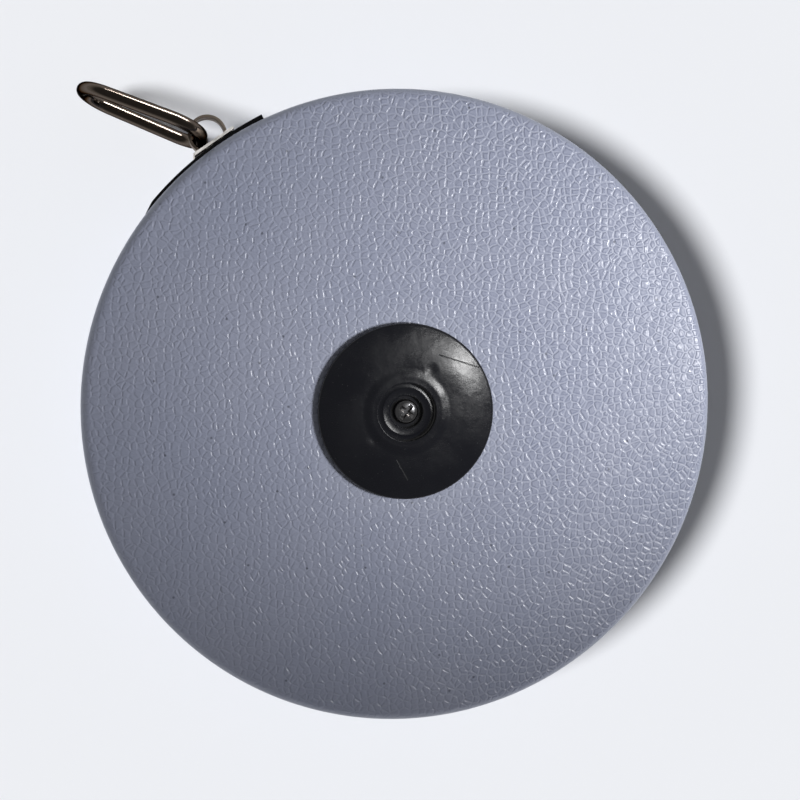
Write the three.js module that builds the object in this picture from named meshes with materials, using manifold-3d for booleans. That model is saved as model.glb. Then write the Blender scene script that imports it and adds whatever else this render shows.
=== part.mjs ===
// A round fibreglass measuring tape in a closed case, in millimetres, +Z up.
// The back of the case, with its black hub cap, faces up. The crank folds flat into the hub disc below.
// The origin is on the reel's axis, in the plane that the tape rests on.
import * as THREE from 'three';
import { mergeVertices } from 'three/addons/utils/BufferGeometryUtils.js';
import Module from 'manifold-3d';

const wasm = await Module();
wasm.setup();
const degree = Math.PI / 180;
const quarterTurn = 90 * degree;

// Clearances
const seatGap = 0.3; // between pieces fixed to each other
const runGap = 0.4; // between pieces that turn or slide past each other
const overrun = 1; // how far a cutter passes the face that it opens

// Facets round each kind of turned piece
const shellSteps = 60;
const reelSteps = 36;
const capSteps = 36;
const smallSteps = 12;

// Facets along curved outlines
const outerSteps = 4; // across a shell's dome, and across its edge, on the outside
const innerSteps = 2; // and on the inside
const capDomeSteps = 4;
const mouthSteps = 12;
const eyeSteps = 20;
const ringSteps = 60;
const wireSides = 10;
const stemSides = 6;

// Tape, wound full on its reel
const tapeWidth = 13;
const tapeThickness = 0.4;
const tapeSideGap = 0.5; // from the tape's edge to the reel's side

// Case of two moulded shells
const caseRadius = 72;
const shellWall = 2.2;
const edgeRadius = 2.5; // rounding between a face and the side wall
const domeDrop = 2.5; // fall of each face from its flat middle to the rounded edge
const flatRadius = 25; // each face is flat inside this
const lipHeight = 1.5; // the front shell's locating lip at the seam
const lipThickness = 0.9;

// Case screws, driven from the front into bosses against the side wall
const screwAngles = [65, 155, 245, 335].map((angle) => angle * degree);
const bossRadius = 2.7;
const bossBite = 0.3; // how far a boss sinks into the side wall
const screwRadius = 1.1;
const screwHeadRadius = 2.1;
const screwHeadHeight = 1.4;
const screwSeatDepth = 1.9; // from the rim of the front face to the seat of the head
const screwLength = 15.5;
const screwTipGap = 0.6;
const crossWidth = 0.7; // cross recess in every screw head
const crossShare = 0.62; // of the head's radius
const crossDepthShare = 0.6; // of the head's height
const crownShare = 0.62; // flat top of a screw's or rivet's head, of the head's radius

// Reel: a barrel with one side moulded on and the other pressed on
const reelSideThickness = 1.2;
const reelRimGap = 0.9; // from the reel's rim to the screw bosses
const reelLip = 1.9; // height of the reel's rim above the full tape
const barrelWall = 2.1;
const plateShoulder = 1.2; // step on the barrel that the pressed side sits on
const webThickness = 2.1;
const hubRadius = 6.4;

// Anchor key that holds the tape's inner end in the barrel
const anchorAngle = 200 * degree;
const anchorWidth = 3.4;
const anchorDepth = 0.9;
const anchorLength = 9;

// Bearing rings between the case and the reel's journals
const backJournalRadius = 13;
const backJournalWall = 3.3;
const bushWall = 1.2;
const bushFlange = 1.8; // overlap of the ring's flange on the shell
const bushFlangeThickness = 0.8;

// Hub disc with the crank's channel and the knob's well
const discThickness = 3.4;
const discOverlap = 2.1; // of the disc on the rim of the case's hole
const journalShoulder = 1.1; // step from the disc's spigot out to its journal
const spigotLength = 3.8;
const wellWall = 0.9;
const stemRadius = 4.2; // from the axis to the corners of the six-sided stem
const stemWall = 1.4; // between the stem and the knob's well

// Folding crank
const pinOffset = 15.5; // from the reel's axis to the crank's hinge pin
const armWidth = 11;
const pinRadius = 0.8;
const pinBite = 2.8; // length of pin in each wall of the channel
const knobRadius = 4.6;
const knobLength = 11;
const knobChamfer = 0.7;
const knobBoreDepth = 1.6;
const rivetRadius = 1.2;
const rivetHeadRadius = 2.4;
const rivetHeadHeight = 0.9;

// Hub cap and its screw, on the back
const capRadius = 19.8;
const capEdge = 0.8; // thickness of the cap's rim
const capChamfer = 0.5;
const capRise = 2.5; // crown of the cap above its seat
const capLipRise = 0.3;
const capLipWidth = 0.9;
const capLipSlope = 1.6; // width of the rise to the lip
const capRecessRadius = 6.5;
const capRecessDepth = 1.4;
const capBoreRadius = 3.7;
const capBoreDepth = 1.2;
const capBossDepth = 0.9; // reach of the cap's centre into the journal
const hubScrewRadius = 1.3;
const hubScrewHeadRadius = 2.75;
const hubScrewHeadHeight = 1.3;
const hubScrewLength = 12;

// Mouth frame in the side wall, and the clip on the tape's end outside it
const clipAngle = 125 * degree; // where the tape leaves the case, counted round from +X
const mouthAhead = 12; // along the wall from the clip to the end that stands proud
const mouthBehind = 22.4; // along the wall from the clip to the end that is flush
const mouthProud = 1.1;
const mouthTail = 0.7; // how far the face still stands proud just before it turns in to the flush end
const mouthTurnShare = 0.1; // of the frame's length, where it turns in
const mouthBorder = 1.1; // above and below the slot
const mouthRearLip = 0.7; // the frame's rear is this much taller than its face
const mouthRearEnd = 1.2; // and this much longer at each end
const mouthDepth = 2.2; // how far the frame reaches inside the wall
const clipWidth = 10.7;
const clipHeight = 16;
const clipSheet = 0.6;
const clipTongue = 9; // length of the two leaves that grip the tape
const eyeRadius = 4.35; // outside of the strap's eye
const eyeRise = 2.3; // from the clip's plate to the eye's centre
const eyeLength = 6.5;
const clipRivetRadius = 0.8;
const clipRivetHeadRadius = 1.5;
const clipRivetHead = 0.5;
const clipRivetOffset = 3.5; // from the tape's centre line
const clipRivetInset = 4.5; // from the tape's end

// Pull ring of round wire, narrower towards its free end
const wireRadius = 1.5;
const ringWidth = 20; // at the side that the eye holds
const ringEndWidth = 16.4;
const ringLength = 31.3;
const ringCorner = 6; // bend of the wire at the held side's corners
const ringAngle = 157.6 * degree; // where the ring points, counted round from +X
const ringRoll = 7.5 * degree;
const ringDroop = 5 * degree;
const ringReach = 2.3; // from the clip's plate to the middle of the wire in the eye
const ringAside = 1.5; // along the wall from the eye's middle to the wire
const ringDrop = 0.3; // from the tape's middle plane down to the middle of the held side

// Sizes that follow from these
const armThickness = discThickness;
const mouthHalf = tapeWidth / 2 + runGap + mouthBorder;
const mouthRearHalf = mouthHalf + mouthRearLip; // the case's side wall is straight over the frame's height
const halfDepth = mouthRearHalf + edgeRadius + domeDrop;
const frontCrownZ = discThickness + runGap;
const seamZ = frontCrownZ + halfDepth;
const backCrownZ = seamZ + halfDepth;
const innerRadius = caseRadius - shellWall;
const lipOuterRadius = innerRadius + lipThickness;
const screwCircle = innerRadius - bossRadius + bossBite;
const reelRadius = screwCircle - bossRadius - reelRimGap;
const packRadius = reelRadius - reelLip;
const bushSleeve = runGap + bushWall + seatGap;
const coreEnd = halfDepth - shellWall - seatGap - bushFlangeThickness - runGap; // from the seam plane
const channelDepth = armThickness + seatGap;
const wellDepth = armThickness + runGap + knobLength + seatGap;
const wellRadius = knobRadius + seatGap;
const knobX = stemRadius + stemWall + wellRadius;
const armLength = pinOffset + knobX; // from the hinge pin to the knob
const knobSweep = Math.hypot(armLength + knobRadius, armThickness / 2 + runGap + knobLength);
const wellEndX = knobSweep - pinOffset + seatGap - wellRadius; // leaves room for the knob as it swings in
const barrelBore = wellEndX + wellRadius + wellWall + runGap;
const barrelRadius = barrelBore + barrelWall;
const frontJournalRadius = barrelBore + journalShoulder;
const discRadius = frontJournalRadius + bushSleeve + discOverlap;
const screwSeatHeight = -halfDepth + domeDrop + screwSeatDepth; // from the seam plane
const rivetFoot = -armThickness / 2 + seatGap; // this and the next three are from the arm's middle plane
const knobFoot = armThickness / 2 + runGap;
const knobTop = knobFoot + knobLength;
const knobBoreFloor = knobTop - knobBoreDepth;
const capSeatZ = backCrownZ + runGap;
const capTopZ = capSeatZ + capRise + capLipRise;
const capFloorZ = capTopZ - capRecessDepth - capBoreDepth;
const capBossZ = capSeatZ - capBossDepth;
const stemTopZ = capBossZ - seatGap;
const hubScrewSeatZ = capFloorZ + seatGap;
const mouthStart = clipAngle - mouthAhead / caseRadius;
const mouthEnd = clipAngle + mouthBehind / caseRadius;
const mouthRearRadius = innerRadius - mouthDepth;
const mouthAtClip = caseRadius + (mouthProud * mouthBehind) / (mouthAhead + mouthBehind);
const plateInner = mouthAtClip + seatGap;
const plateOuter = plateInner + clipSheet;
const eyeCentre = (plateInner + plateOuter) / 2 + eyeRise;
const ringHalf = ringWidth / 2 - wireRadius;
const ringEndBend = ringEndWidth / 2 - wireRadius;
const ringEndX = ringLength - 2 * wireRadius - ringEndBend; // centre of the round free end
const tapeOffset = packRadius + seatGap + tapeThickness / 2; // from the axis to the straight run
const leaveAngle = Math.acos(tapeOffset / mouthAtClip); // from the tape's last touch to the mouth
const runAngle = clipAngle - leaveAngle - quarterTurn; // turn of the straight run's own frame
const leafOffset = tapeThickness / 2 + seatGap + clipSheet / 2;
const slotThickness = 2 * (leafOffset + clipSheet / 2 + seatGap + clipRivetHead + runGap);
const leadLength = (plateInner - clipSheet - tapeOffset * Math.cos(leaveAngle)) / Math.sin(leaveAngle);

// Closed solid from a closed geometry: shared points are merged, points that meet on an axis leave no
// face behind, and the faces are turned outwards.
function toManifold(geometry) {
  const bare = geometry.clone();
  bare.deleteAttribute('normal');
  bare.deleteAttribute('uv');
  const merged = mergeVertices(bare);
  const triangles = [];
  for (let first = 0; first < merged.index.count; first += 3) {
    const triangle = [0, 1, 2].map((corner) => merged.index.getX(first + corner));
    if (new Set(triangle).size === 3) triangles.push(triangle);
  }
  const corner = (index) => new THREE.Vector3().fromBufferAttribute(merged.attributes.position, index);
  const volumes = triangles.map(([a, b, c]) => corner(a).dot(corner(b).cross(corner(c))));
  const inside = volumes.reduce((sum, volume) => sum + volume) < 0;
  const facingOut = triangles.map((triangle) => (inside ? triangle.reverse() : triangle));
  const triVerts = Uint32Array.from(facingOut.flat());
  const vertProperties = merged.attributes.position.array;
  return new wasm.Manifold(new wasm.Mesh({ numProp: 3, vertProperties, triVerts }));
}

// The base with pieces joined to it, then cutters taken out of it.
function shaped(base, { add = [], cut = [] } = {}) {
  const joined = add.reduce((body, piece) => body.add(toManifold(piece)), toManifold(base));
  const finished = cut.reduce((body, piece) => body.subtract(toManifold(piece)), joined);
  const { vertProperties, triVerts } = finished.getMesh();
  const geometry = new THREE.BufferGeometry();
  geometry.setAttribute('position', new THREE.BufferAttribute(vertProperties, 3));
  geometry.setIndex(new THREE.BufferAttribute(triVerts, 1));
  geometry.computeVertexNormals();
  return geometry;
}

// [radius, height] points turned round Z. The profile starts and ends on the axis, or is closed here.
function turned(profile, steps) {
  const loop = profile[0][0] === 0 ? profile : [...profile, profile[0]];
  const points = loop.map(([radius, height]) => new THREE.Vector2(radius, height));
  return new THREE.LatheGeometry(points, steps).rotateX(quarterTurn);
}

function rod(radius, low, high, steps) {
  return turned([[0, low], [radius, low], [radius, high], [0, high]], steps);
}

function extruded(shape, low, high, curveSegments) {
  const options = { depth: high - low, bevelEnabled: false, curveSegments };
  return new THREE.ExtrudeGeometry(shape, options).translate(0, 0, low);
}

function block(fromX, toX, fromY, toY, low, high) {
  const box = new THREE.BoxGeometry(toX - fromX, toY - fromY, high - low);
  return box.translate((fromX + toX) / 2, (fromY + toY) / 2, (low + high) / 2);
}

// A bar with round ends about two points on the X axis.
function slotBar(fromX, toX, radius, low, high) {
  const shape = new THREE.Shape();
  shape.absarc(toX, 0, radius, -quarterTurn, quarterTurn, false);
  shape.absarc(fromX, 0, radius, quarterTurn, 3 * quarterTurn, false);
  return extruded(shape, low, high, smallSteps);
}

// A piece of a ring between two angles.
function sector(inner, outer, start, end, low, high) {
  const shape = new THREE.Shape();
  shape.absarc(0, 0, outer, start, end, false);
  shape.absarc(0, 0, inner, end, start, true);
  return extruded(shape, low, high, mouthSteps);
}

// Cross recess that opens upwards at a height.
function crossCutter(headRadius, headHeight, top) {
  const reach = headRadius * crossShare;
  const floor = top - headHeight * crossDepthShare;
  const half = crossWidth / 2;
  return [
    block(-reach, reach, -half, half, floor, top + overrun),
    block(-half, half, -reach, reach, floor, top + overrun),
  ];
}

// Pan-head screw with its seat at height 0 and its shank below.
function panScrew(headRadius, headHeight, shankRadius, length) {
  const profile = [
    [0, -length],
    [shankRadius / 2, -length],
    [shankRadius, -length + shankRadius],
    [shankRadius, 0],
    [headRadius, 0],
    [headRadius, headHeight / 2],
    [headRadius * crownShare, headHeight],
    [0, headHeight],
  ];
  return shaped(turned(profile, smallSteps), { cut: crossCutter(headRadius, headHeight, headHeight) });
}

// Moulded shells

// One shell's face and side wall as [radius, height over the seam plane], at a depth under the skin.
function skin(holeRadius, inset, steps) {
  const bend = Math.max(edgeRadius - inset, 0);
  const bendRadius = caseRadius - inset - bend;
  const bendHeight = halfDepth - domeDrop - inset - bend;
  const points = [[holeRadius, halfDepth - inset]];
  for (let step = 0; step <= steps; step += 1) {
    const share = step / steps;
    const radius = flatRadius + (bendRadius - flatRadius) * share;
    points.push([radius, halfDepth - inset - domeDrop * share ** 2]);
  }
  for (let step = 1; step <= steps; step += 1) {
    const angle = quarterTurn * (1 - step / steps);
    points.push([bendRadius + bend * Math.cos(angle), bendHeight + bend * Math.sin(angle)]);
  }
  return points;
}

function atScrews(makePiece) {
  return screwAngles.map((angle) => makePiece().translate(screwCircle, 0, 0).rotateZ(angle));
}

// side is 1 for the back shell and -1 for the front one. seam lists the profile's points across the seam.
function shell(side, holeRadius, seam, bossFoot, holes) {
  const inside = skin(holeRadius, shellWall, innerSteps).reverse();
  const profile = [...skin(holeRadius, 0, outerSteps), ...seam, ...inside];
  const face = halfDepth - domeDrop - shellWall / 2;
  const flipped = profile.map(([radius, height]) => [radius, side * height]);
  const ends = [side * bossFoot, side * face];
  const bosses = atScrews(() => rod(bossRadius, Math.min(...ends), Math.max(...ends), smallSteps));
  const gap = seatGap / caseRadius;
  const windowHalf = mouthHalf + seatGap;
  const inner = innerRadius - overrun;
  const outer = caseRadius + overrun;
  const mouthWindow = sector(inner, outer, mouthStart - gap, mouthEnd + gap, -windowHalf, windowHalf);
  return shaped(turned(flipped, shellSteps), { add: bosses, cut: [...holes, mouthWindow] });
}

function backShell() {
  const foot = lipHeight + seatGap;
  const rabbetRadius = lipOuterRadius + seatGap;
  const seam = [
    [caseRadius, seatGap / 2],
    [rabbetRadius, seatGap / 2],
    [rabbetRadius, foot],
    [innerRadius, foot],
  ];
  const holeTop = screwSeatHeight + seatGap + screwLength + screwTipGap;
  const holes = atScrews(() => rod(screwRadius + seatGap, -overrun, holeTop, smallSteps));
  return shell(1, backJournalRadius + bushSleeve, seam, foot, holes);
}

function frontShell() {
  const seam = [
    [caseRadius, seatGap / 2],
    [lipOuterRadius, seatGap / 2],
    [lipOuterRadius, -lipHeight],
    [innerRadius, -lipHeight],
  ];
  const low = -halfDepth - overrun;
  const holes = [
    ...atScrews(() => rod(screwRadius + seatGap, low, lipHeight + overrun, smallSteps)),
    ...atScrews(() => rod(screwHeadRadius + seatGap, low, screwSeatHeight, smallSteps)),
  ];
  return shell(-1, frontJournalRadius + bushSleeve, seam, -lipHeight, holes);
}

function caseScrew() {
  return panScrew(screwHeadRadius, screwHeadHeight, screwRadius, screwLength).rotateX(2 * quarterTurn);
}

// Ring in a shell's hub hole, with a flange against the shell's inner face.
function bearingRing(side, journalRadius) {
  const bore = journalRadius + runGap;
  const sleeve = bore + bushWall;
  const flangeOuter = sleeve + seatGap + bushFlange;
  const flangeTop = halfDepth - shellWall - seatGap;
  const flangeFoot = flangeTop - bushFlangeThickness;
  const profile = [
    [bore, flangeFoot],
    [flangeOuter, flangeFoot],
    [flangeOuter, flangeTop],
    [sleeve, flangeTop],
    [sleeve, halfDepth],
    [bore, halfDepth],
  ];
  return shaped(turned(profile.map(([radius, height]) => [radius, side * height]), reelSteps));
}

// Mouth

// Moves a piece from the frame of the tape's straight run, where it travels towards -X, to the case's.
function alongRun(geometry) {
  return geometry.rotateZ(runAngle);
}

// Moves a piece from a frame whose +Y points straight out of the mouth at the clip, to the case's.
function outOfMouth(geometry) {
  return geometry.rotateZ(clipAngle - quarterTurn);
}

function mouthFrame() {
  const points = [];
  for (let step = 0; step <= mouthSteps; step += 1) {
    const share = step / mouthSteps;
    const angle = mouthStart + (mouthEnd - mouthStart) * share;
    const proud = Math.max(mouthProud * (1 - share), mouthTail) * Math.min(1, (1 - share) / mouthTurnShare);
    const radius = caseRadius + proud;
    points.push(new THREE.Vector2(radius * Math.cos(angle), radius * Math.sin(angle)));
  }
  const face = new THREE.Shape(points);
  face.absarc(0, 0, mouthRearRadius, mouthEnd, mouthStart, true);
  const rearGap = mouthRearEnd / caseRadius;
  const rearOuter = innerRadius - seatGap;
  const rearAngles = [mouthStart - rearGap, mouthEnd + rearGap];
  const rear = sector(mouthRearRadius, rearOuter, ...rearAngles, -mouthRearHalf, mouthRearHalf);
  const slotHalf = tapeWidth / 2 + runGap;
  const fromY = tapeOffset - slotThickness / 2;
  const slot = block(-caseRadius, 0, fromY, fromY + slotThickness, -slotHalf, slotHalf);
  const front = extruded(face, -mouthHalf, mouthHalf, mouthSteps);
  return shaped(front, { add: [rear], cut: [alongRun(slot)] });
}

// Reel

function reelCore() {
  const sideFoot = -tapeWidth / 2 - tapeSideGap - reelSideThickness;
  const shoulder = barrelRadius - plateShoulder;
  const shoulderHeight = tapeWidth / 2 + tapeSideGap - seatGap;
  const journalBore = backJournalRadius - backJournalWall;
  const journalTop = capSeatZ - seatGap - seamZ;
  const hubFoot = wellDepth + wellWall + seatGap - seamZ;
  const hubTop = stemTopZ - seatGap - seamZ;
  const stemBore = stemRadius + seatGap / Math.cos(Math.PI / stemSides);
  const profile = [
    [0, hubFoot],
    [hubRadius, hubFoot],
    [hubRadius, coreEnd - webThickness],
    [barrelBore, coreEnd - webThickness],
    [barrelBore, -coreEnd],
    [barrelRadius, -coreEnd],
    [barrelRadius, sideFoot],
    [reelRadius, sideFoot],
    [reelRadius, sideFoot + reelSideThickness],
    [barrelRadius, sideFoot + reelSideThickness],
    [barrelRadius, shoulderHeight],
    [shoulder, shoulderHeight],
    [shoulder, coreEnd],
    [backJournalRadius, coreEnd],
    [backJournalRadius, journalTop],
    [journalBore, journalTop],
    [journalBore, coreEnd],
    [hubRadius, coreEnd],
    [hubRadius, hubTop],
    [0, hubTop],
  ];
  const stemHole = rod(stemBore, hubFoot - overrun, hubTop + overrun, stemSides);
  return shaped(turned(profile, reelSteps), { cut: [stemHole, anchorBlock(seatGap, overrun)] });
}

// The anchor key, or with room round it and above it, the pocket that it lies in.
function anchorBlock(room, headroom) {
  const foot = barrelRadius - seatGap - anchorDepth - room;
  const top = barrelRadius - seatGap + headroom;
  const half = anchorWidth / 2 + room;
  const length = anchorLength / 2 + room;
  return block(foot, top, -half, half, -length, length).rotateZ(anchorAngle);
}

function reelPlate() {
  const foot = tapeWidth / 2 + tapeSideGap;
  const bore = barrelRadius - plateShoulder + seatGap;
  const top = foot + reelSideThickness;
  const profile = [
    [bore, foot],
    [reelRadius, foot],
    [reelRadius, top],
    [bore, top],
  ];
  return shaped(turned(profile, reelSteps));
}

function tapePack() {
  const half = tapeWidth / 2;
  const bore = barrelRadius + seatGap;
  const profile = [
    [bore, -half],
    [packRadius, -half],
    [packRadius, half],
    [bore, half],
  ];
  return shaped(turned(profile, reelSteps));
}

// Hub disc: the disc that the crank lies in, its journal, a spigot in the barrel, the knob's cup and
// the stem.
function crankDisc() {
  const journalTop = seamZ - coreEnd - seatGap;
  const spigotTop = journalTop + spigotLength;
  const spigotRadius = barrelBore - seatGap;
  const profile = [
    [0, 0],
    [discRadius, 0],
    [discRadius, discThickness],
    [frontJournalRadius, discThickness],
    [frontJournalRadius, journalTop],
    [spigotRadius, journalTop],
    [spigotRadius, spigotTop],
    [0, spigotTop],
  ];
  const cup = slotBar(knobX, wellEndX, wellRadius + wellWall, journalTop, wellDepth + wellWall);
  const stem = rod(stemRadius, journalTop, stemTopZ, stemSides);
  const channelHalf = armWidth / 2 + seatGap;
  const channel = [
    block(-discRadius - overrun, knobX, -channelHalf, channelHalf, -overrun, channelDepth),
    rod(channelHalf, -overrun, channelDepth, smallSteps * 2).translate(knobX, 0, 0),
  ];
  const well = slotBar(knobX, wellEndX, wellRadius, -overrun, wellDepth);
  const pinHole = rod(pinRadius + seatGap, -discRadius, discRadius, smallSteps).rotateX(quarterTurn);
  pinHole.translate(-pinOffset, 0, armThickness / 2);
  const screwFloor = hubScrewSeatZ - hubScrewLength - screwTipGap;
  const screwHole = rod(hubScrewRadius + seatGap, screwFloor, stemTopZ + overrun, smallSteps);
  const cut = [...channel, well, pinHole, screwHole];
  return shaped(turned(profile, reelSteps), { add: [cup, stem], cut });
}

// Crank, in a frame at the middle of its hinge pin, with the arm towards +X

function crankArm() {
  const half = armThickness / 2;
  const shape = new THREE.Shape();
  shape.moveTo(0, -armWidth / 2);
  shape.lineTo(armLength, -armWidth / 2);
  shape.absarc(armLength, 0, armWidth / 2, -quarterTurn, quarterTurn, false);
  shape.lineTo(0, armWidth / 2);
  const eye = rod(half, -armWidth / 2, armWidth / 2, smallSteps * 2).rotateX(quarterTurn);
  const pinHole = rod(pinRadius + seatGap, -armWidth, armWidth, smallSteps).rotateX(quarterTurn);
  const headTop = rivetFoot + rivetHeadHeight + seatGap;
  const headHole = rod(rivetHeadRadius + seatGap, -half - overrun, headTop, smallSteps);
  const rivetHole = rod(rivetRadius + seatGap, -half - overrun, half + overrun, smallSteps);
  const holes = [headHole, rivetHole].map((hole) => hole.translate(armLength, 0, 0));
  return shaped(extruded(shape, -half, half, smallSteps), { add: [eye], cut: [pinHole, ...holes] });
}

function crankPin() {
  const half = armWidth / 2 + seatGap + pinBite;
  return shaped(rod(pinRadius, -half, half, smallSteps).rotateX(quarterTurn));
}

function crankKnob() {
  const bore = rivetRadius + seatGap;
  const headBore = rivetHeadRadius + seatGap;
  const profile = [
    [bore, knobFoot],
    [knobRadius - knobChamfer, knobFoot],
    [knobRadius, knobFoot + knobChamfer],
    [knobRadius, knobTop - knobChamfer],
    [knobRadius - knobChamfer, knobTop],
    [headBore, knobTop],
    [headBore, knobBoreFloor],
    [bore, knobBoreFloor],
  ];
  return shaped(turned(profile, smallSteps * 2));
}

function knobRivet() {
  const headFoot = knobBoreFloor + seatGap;
  const profile = [
    [0, rivetFoot],
    [rivetHeadRadius, rivetFoot],
    [rivetHeadRadius, rivetFoot + rivetHeadHeight],
    [rivetRadius, rivetFoot + rivetHeadHeight],
    [rivetRadius, headFoot],
    [rivetHeadRadius, headFoot],
    [rivetHeadRadius * crownShare, headFoot + rivetHeadHeight],
    [0, headFoot + rivetHeadHeight],
  ];
  return shaped(turned(profile, smallSteps));
}

// Hub cap

function backCap() {
  const crownZ = capSeatZ + capRise;
  const lipOuter = capRecessRadius + capLipWidth;
  const domeFoot = lipOuter + capLipSlope;
  const edgeZ = capSeatZ + capEdge;
  const rimRadius = capRadius - capChamfer;
  const rise = crownZ - edgeZ - capChamfer;
  const dome = [];
  for (let step = 0; step < capDomeSteps; step += 1) {
    const share = step / capDomeSteps;
    dome.push([rimRadius - (rimRadius - domeFoot) * share, crownZ - rise * (1 - share) ** 2]);
  }
  const profile = [
    [hubScrewRadius + seatGap, capBossZ],
    [backJournalRadius - backJournalWall - seatGap, capBossZ],
    [backJournalRadius - backJournalWall - seatGap, capSeatZ],
    [capRadius, capSeatZ],
    [capRadius, edgeZ],
    ...dome,
    [domeFoot, crownZ],
    [lipOuter, capTopZ],
    [capRecessRadius, capTopZ],
    [capRecessRadius, capTopZ - capRecessDepth],
    [capBoreRadius, capTopZ - capRecessDepth],
    [capBoreRadius, capFloorZ],
    [hubScrewRadius + seatGap, capFloorZ],
  ];
  return shaped(turned(profile, capSteps));
}

// Tape end

function tapeLead() {
  const fromY = tapeOffset - tapeThickness / 2;
  const strip = block(-leadLength, 0, fromY, fromY + tapeThickness, -tapeWidth / 2, tapeWidth / 2);
  return shaped(alongRun(strip), { cut: clipRivetHoles() });
}

// Rods across the tape's end, one at each rivet.
function acrossTape(makeRod) {
  const place = (side) => {
    const piece = makeRod().rotateX(-quarterTurn);
    return alongRun(piece.translate(-leadLength + clipRivetInset, tapeOffset, side * clipRivetOffset));
  };
  return [1, -1].map(place);
}

function clipRivetHoles() {
  return acrossTape(() => rod(clipRivetRadius + seatGap, -slotThickness, slotThickness, smallSteps));
}

// Clip: a plate outside the mouth, a strap eye on it for the ring, and two leaves that grip the tape.
function endClip() {
  const half = clipWidth / 2;
  const plate = block(-half, half, plateInner, plateOuter, -clipHeight / 2, clipHeight / 2);
  const dip = Math.asin(eyeRise / (eyeRadius - clipSheet / 2));
  const eyeShape = new THREE.Shape();
  eyeShape.absarc(0, eyeCentre, eyeRadius, -dip, Math.PI + dip, false);
  eyeShape.absarc(0, eyeCentre, eyeRadius - clipSheet, Math.PI + dip, -dip, true);
  const eye = extruded(eyeShape, -eyeLength / 2, eyeLength / 2, eyeSteps);
  const leaves = [-leafOffset, leafOffset].map((offset) => {
    const fromY = tapeOffset + offset - clipSheet / 2;
    const fromX = -leadLength - clipWidth / 2;
    const toX = -leadLength + clipTongue;
    return alongRun(block(fromX, toX, fromY, fromY + clipSheet, -tapeWidth / 2, tapeWidth / 2));
  });
  const plateMiddle = (plateInner + plateOuter) / 2;
  const beyond = block(-clipWidth, clipWidth, plateMiddle, 2 * plateOuter, -clipHeight, clipHeight);
  const tongue = shaped(leaves[0], { add: [leaves[1]], cut: [outOfMouth(beyond), ...clipRivetHoles()] });
  return shaped(outOfMouth(plate), { add: [outOfMouth(eye), tongue] });
}

function clipRivet() {
  const headFoot = leafOffset + clipSheet / 2 + seatGap;
  const headTop = headFoot + clipRivetHead;
  const half = [
    [0, headTop],
    [clipRivetHeadRadius, headTop],
    [clipRivetHeadRadius, headFoot],
    [clipRivetRadius, headFoot],
  ];
  const mirrored = half.map(([radius, height]) => [radius, -height]).reverse();
  return turned([...half, ...mirrored], smallSteps);
}

// Ring of wire in the XZ plane: it starts at the origin, where the eye holds it, and lies towards +X.
class WireLoop extends THREE.Curve {
  constructor() {
    super();
    const cornerY = ringHalf - ringCorner;
    const across = ringEndX - ringCorner;
    const spread = Math.hypot(across, cornerY);
    const barTurn = Math.acos((ringCorner - ringEndBend) / spread) - Math.atan2(cornerY, across);
    this.outline = new THREE.Path();
    this.outline.lineTo(0, cornerY);
    this.outline.absarc(ringCorner, cornerY, ringCorner, 2 * quarterTurn, barTurn, true);
    this.outline.absarc(ringEndX, 0, ringEndBend, barTurn, -barTurn, true);
    this.outline.absarc(ringCorner, -cornerY, ringCorner, -barTurn, -2 * quarterTurn, true);
    this.outline.lineTo(0, 0);
  }

  getPoint(share, target = new THREE.Vector3()) {
    const { x, y } = this.outline.getPoint(share);
    return target.set(x, 0, y);
  }
}

function pullRing() {
  return shaped(new THREE.TubeGeometry(new WireLoop(), ringSteps, wireRadius, wireSides, true));
}

// Materials: moulded case, black plastic, reel plastic, glass-fibre tape and nickel-plated steel

function finish(color, roughness, metalness) {
  return new THREE.MeshStandardMaterial({ color, roughness, metalness, flatShading: true });
}

const casePlastic = () => finish(0x969db4, 0.62, 0);
const blackPlastic = () => finish(0x1d1e20, 0.45, 0);
const reelPlastic = () => finish(0x3a3c40, 0.55, 0);
const tapeYellow = () => finish(0xe2bd2c, 0.5, 0);
const nickel = () => finish(0x9c958c, 0.22, 1);
const steel = () => finish(0x8b8d90, 0.3, 1);

// Assembly

function group(parent, x = 0, y = 0, z = 0) {
  const made = new THREE.Group();
  made.position.set(x, y, z);
  parent.add(made);
  return made;
}

function piece(parent, name, geometry, material, z = 0) {
  const mesh = new THREE.Mesh(geometry, material);
  mesh.name = name;
  mesh.position.z = z;
  parent.add(mesh);
  return mesh;
}

const tape = new THREE.Group();

const caseGroup = group(tape, 0, 0, seamZ);
piece(caseGroup, 'back_shell', backShell(), casePlastic());
piece(caseGroup, 'front_shell', frontShell(), casePlastic());
piece(caseGroup, 'mouth_frame', mouthFrame(), blackPlastic());
piece(caseGroup, 'back_bearing_ring', bearingRing(1, backJournalRadius), reelPlastic());
piece(caseGroup, 'front_bearing_ring', bearingRing(-1, frontJournalRadius), reelPlastic());
screwAngles.forEach((angle, index) => {
  const name = `case_screw_${index + 1}`;
  const screw = piece(caseGroup, name, caseScrew(), steel(), screwSeatHeight - seatGap);
  screw.position.x = screwCircle * Math.cos(angle);
  screw.position.y = screwCircle * Math.sin(angle);
});

const reelGroup = group(tape);
piece(reelGroup, 'reel_core', reelCore(), reelPlastic(), seamZ);
piece(reelGroup, 'reel_plate', reelPlate(), reelPlastic(), seamZ);
piece(reelGroup, 'tape_pack', tapePack(), tapeYellow(), seamZ);
piece(reelGroup, 'tape_anchor', shaped(anchorBlock(0, 0)), steel(), seamZ);
piece(reelGroup, 'crank_disc', crankDisc(), blackPlastic());
piece(reelGroup, 'back_cap', backCap(), blackPlastic());
const hubScrew = panScrew(hubScrewHeadRadius, hubScrewHeadHeight, hubScrewRadius, hubScrewLength);
piece(reelGroup, 'hub_screw', hubScrew, steel(), hubScrewSeatZ);

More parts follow.
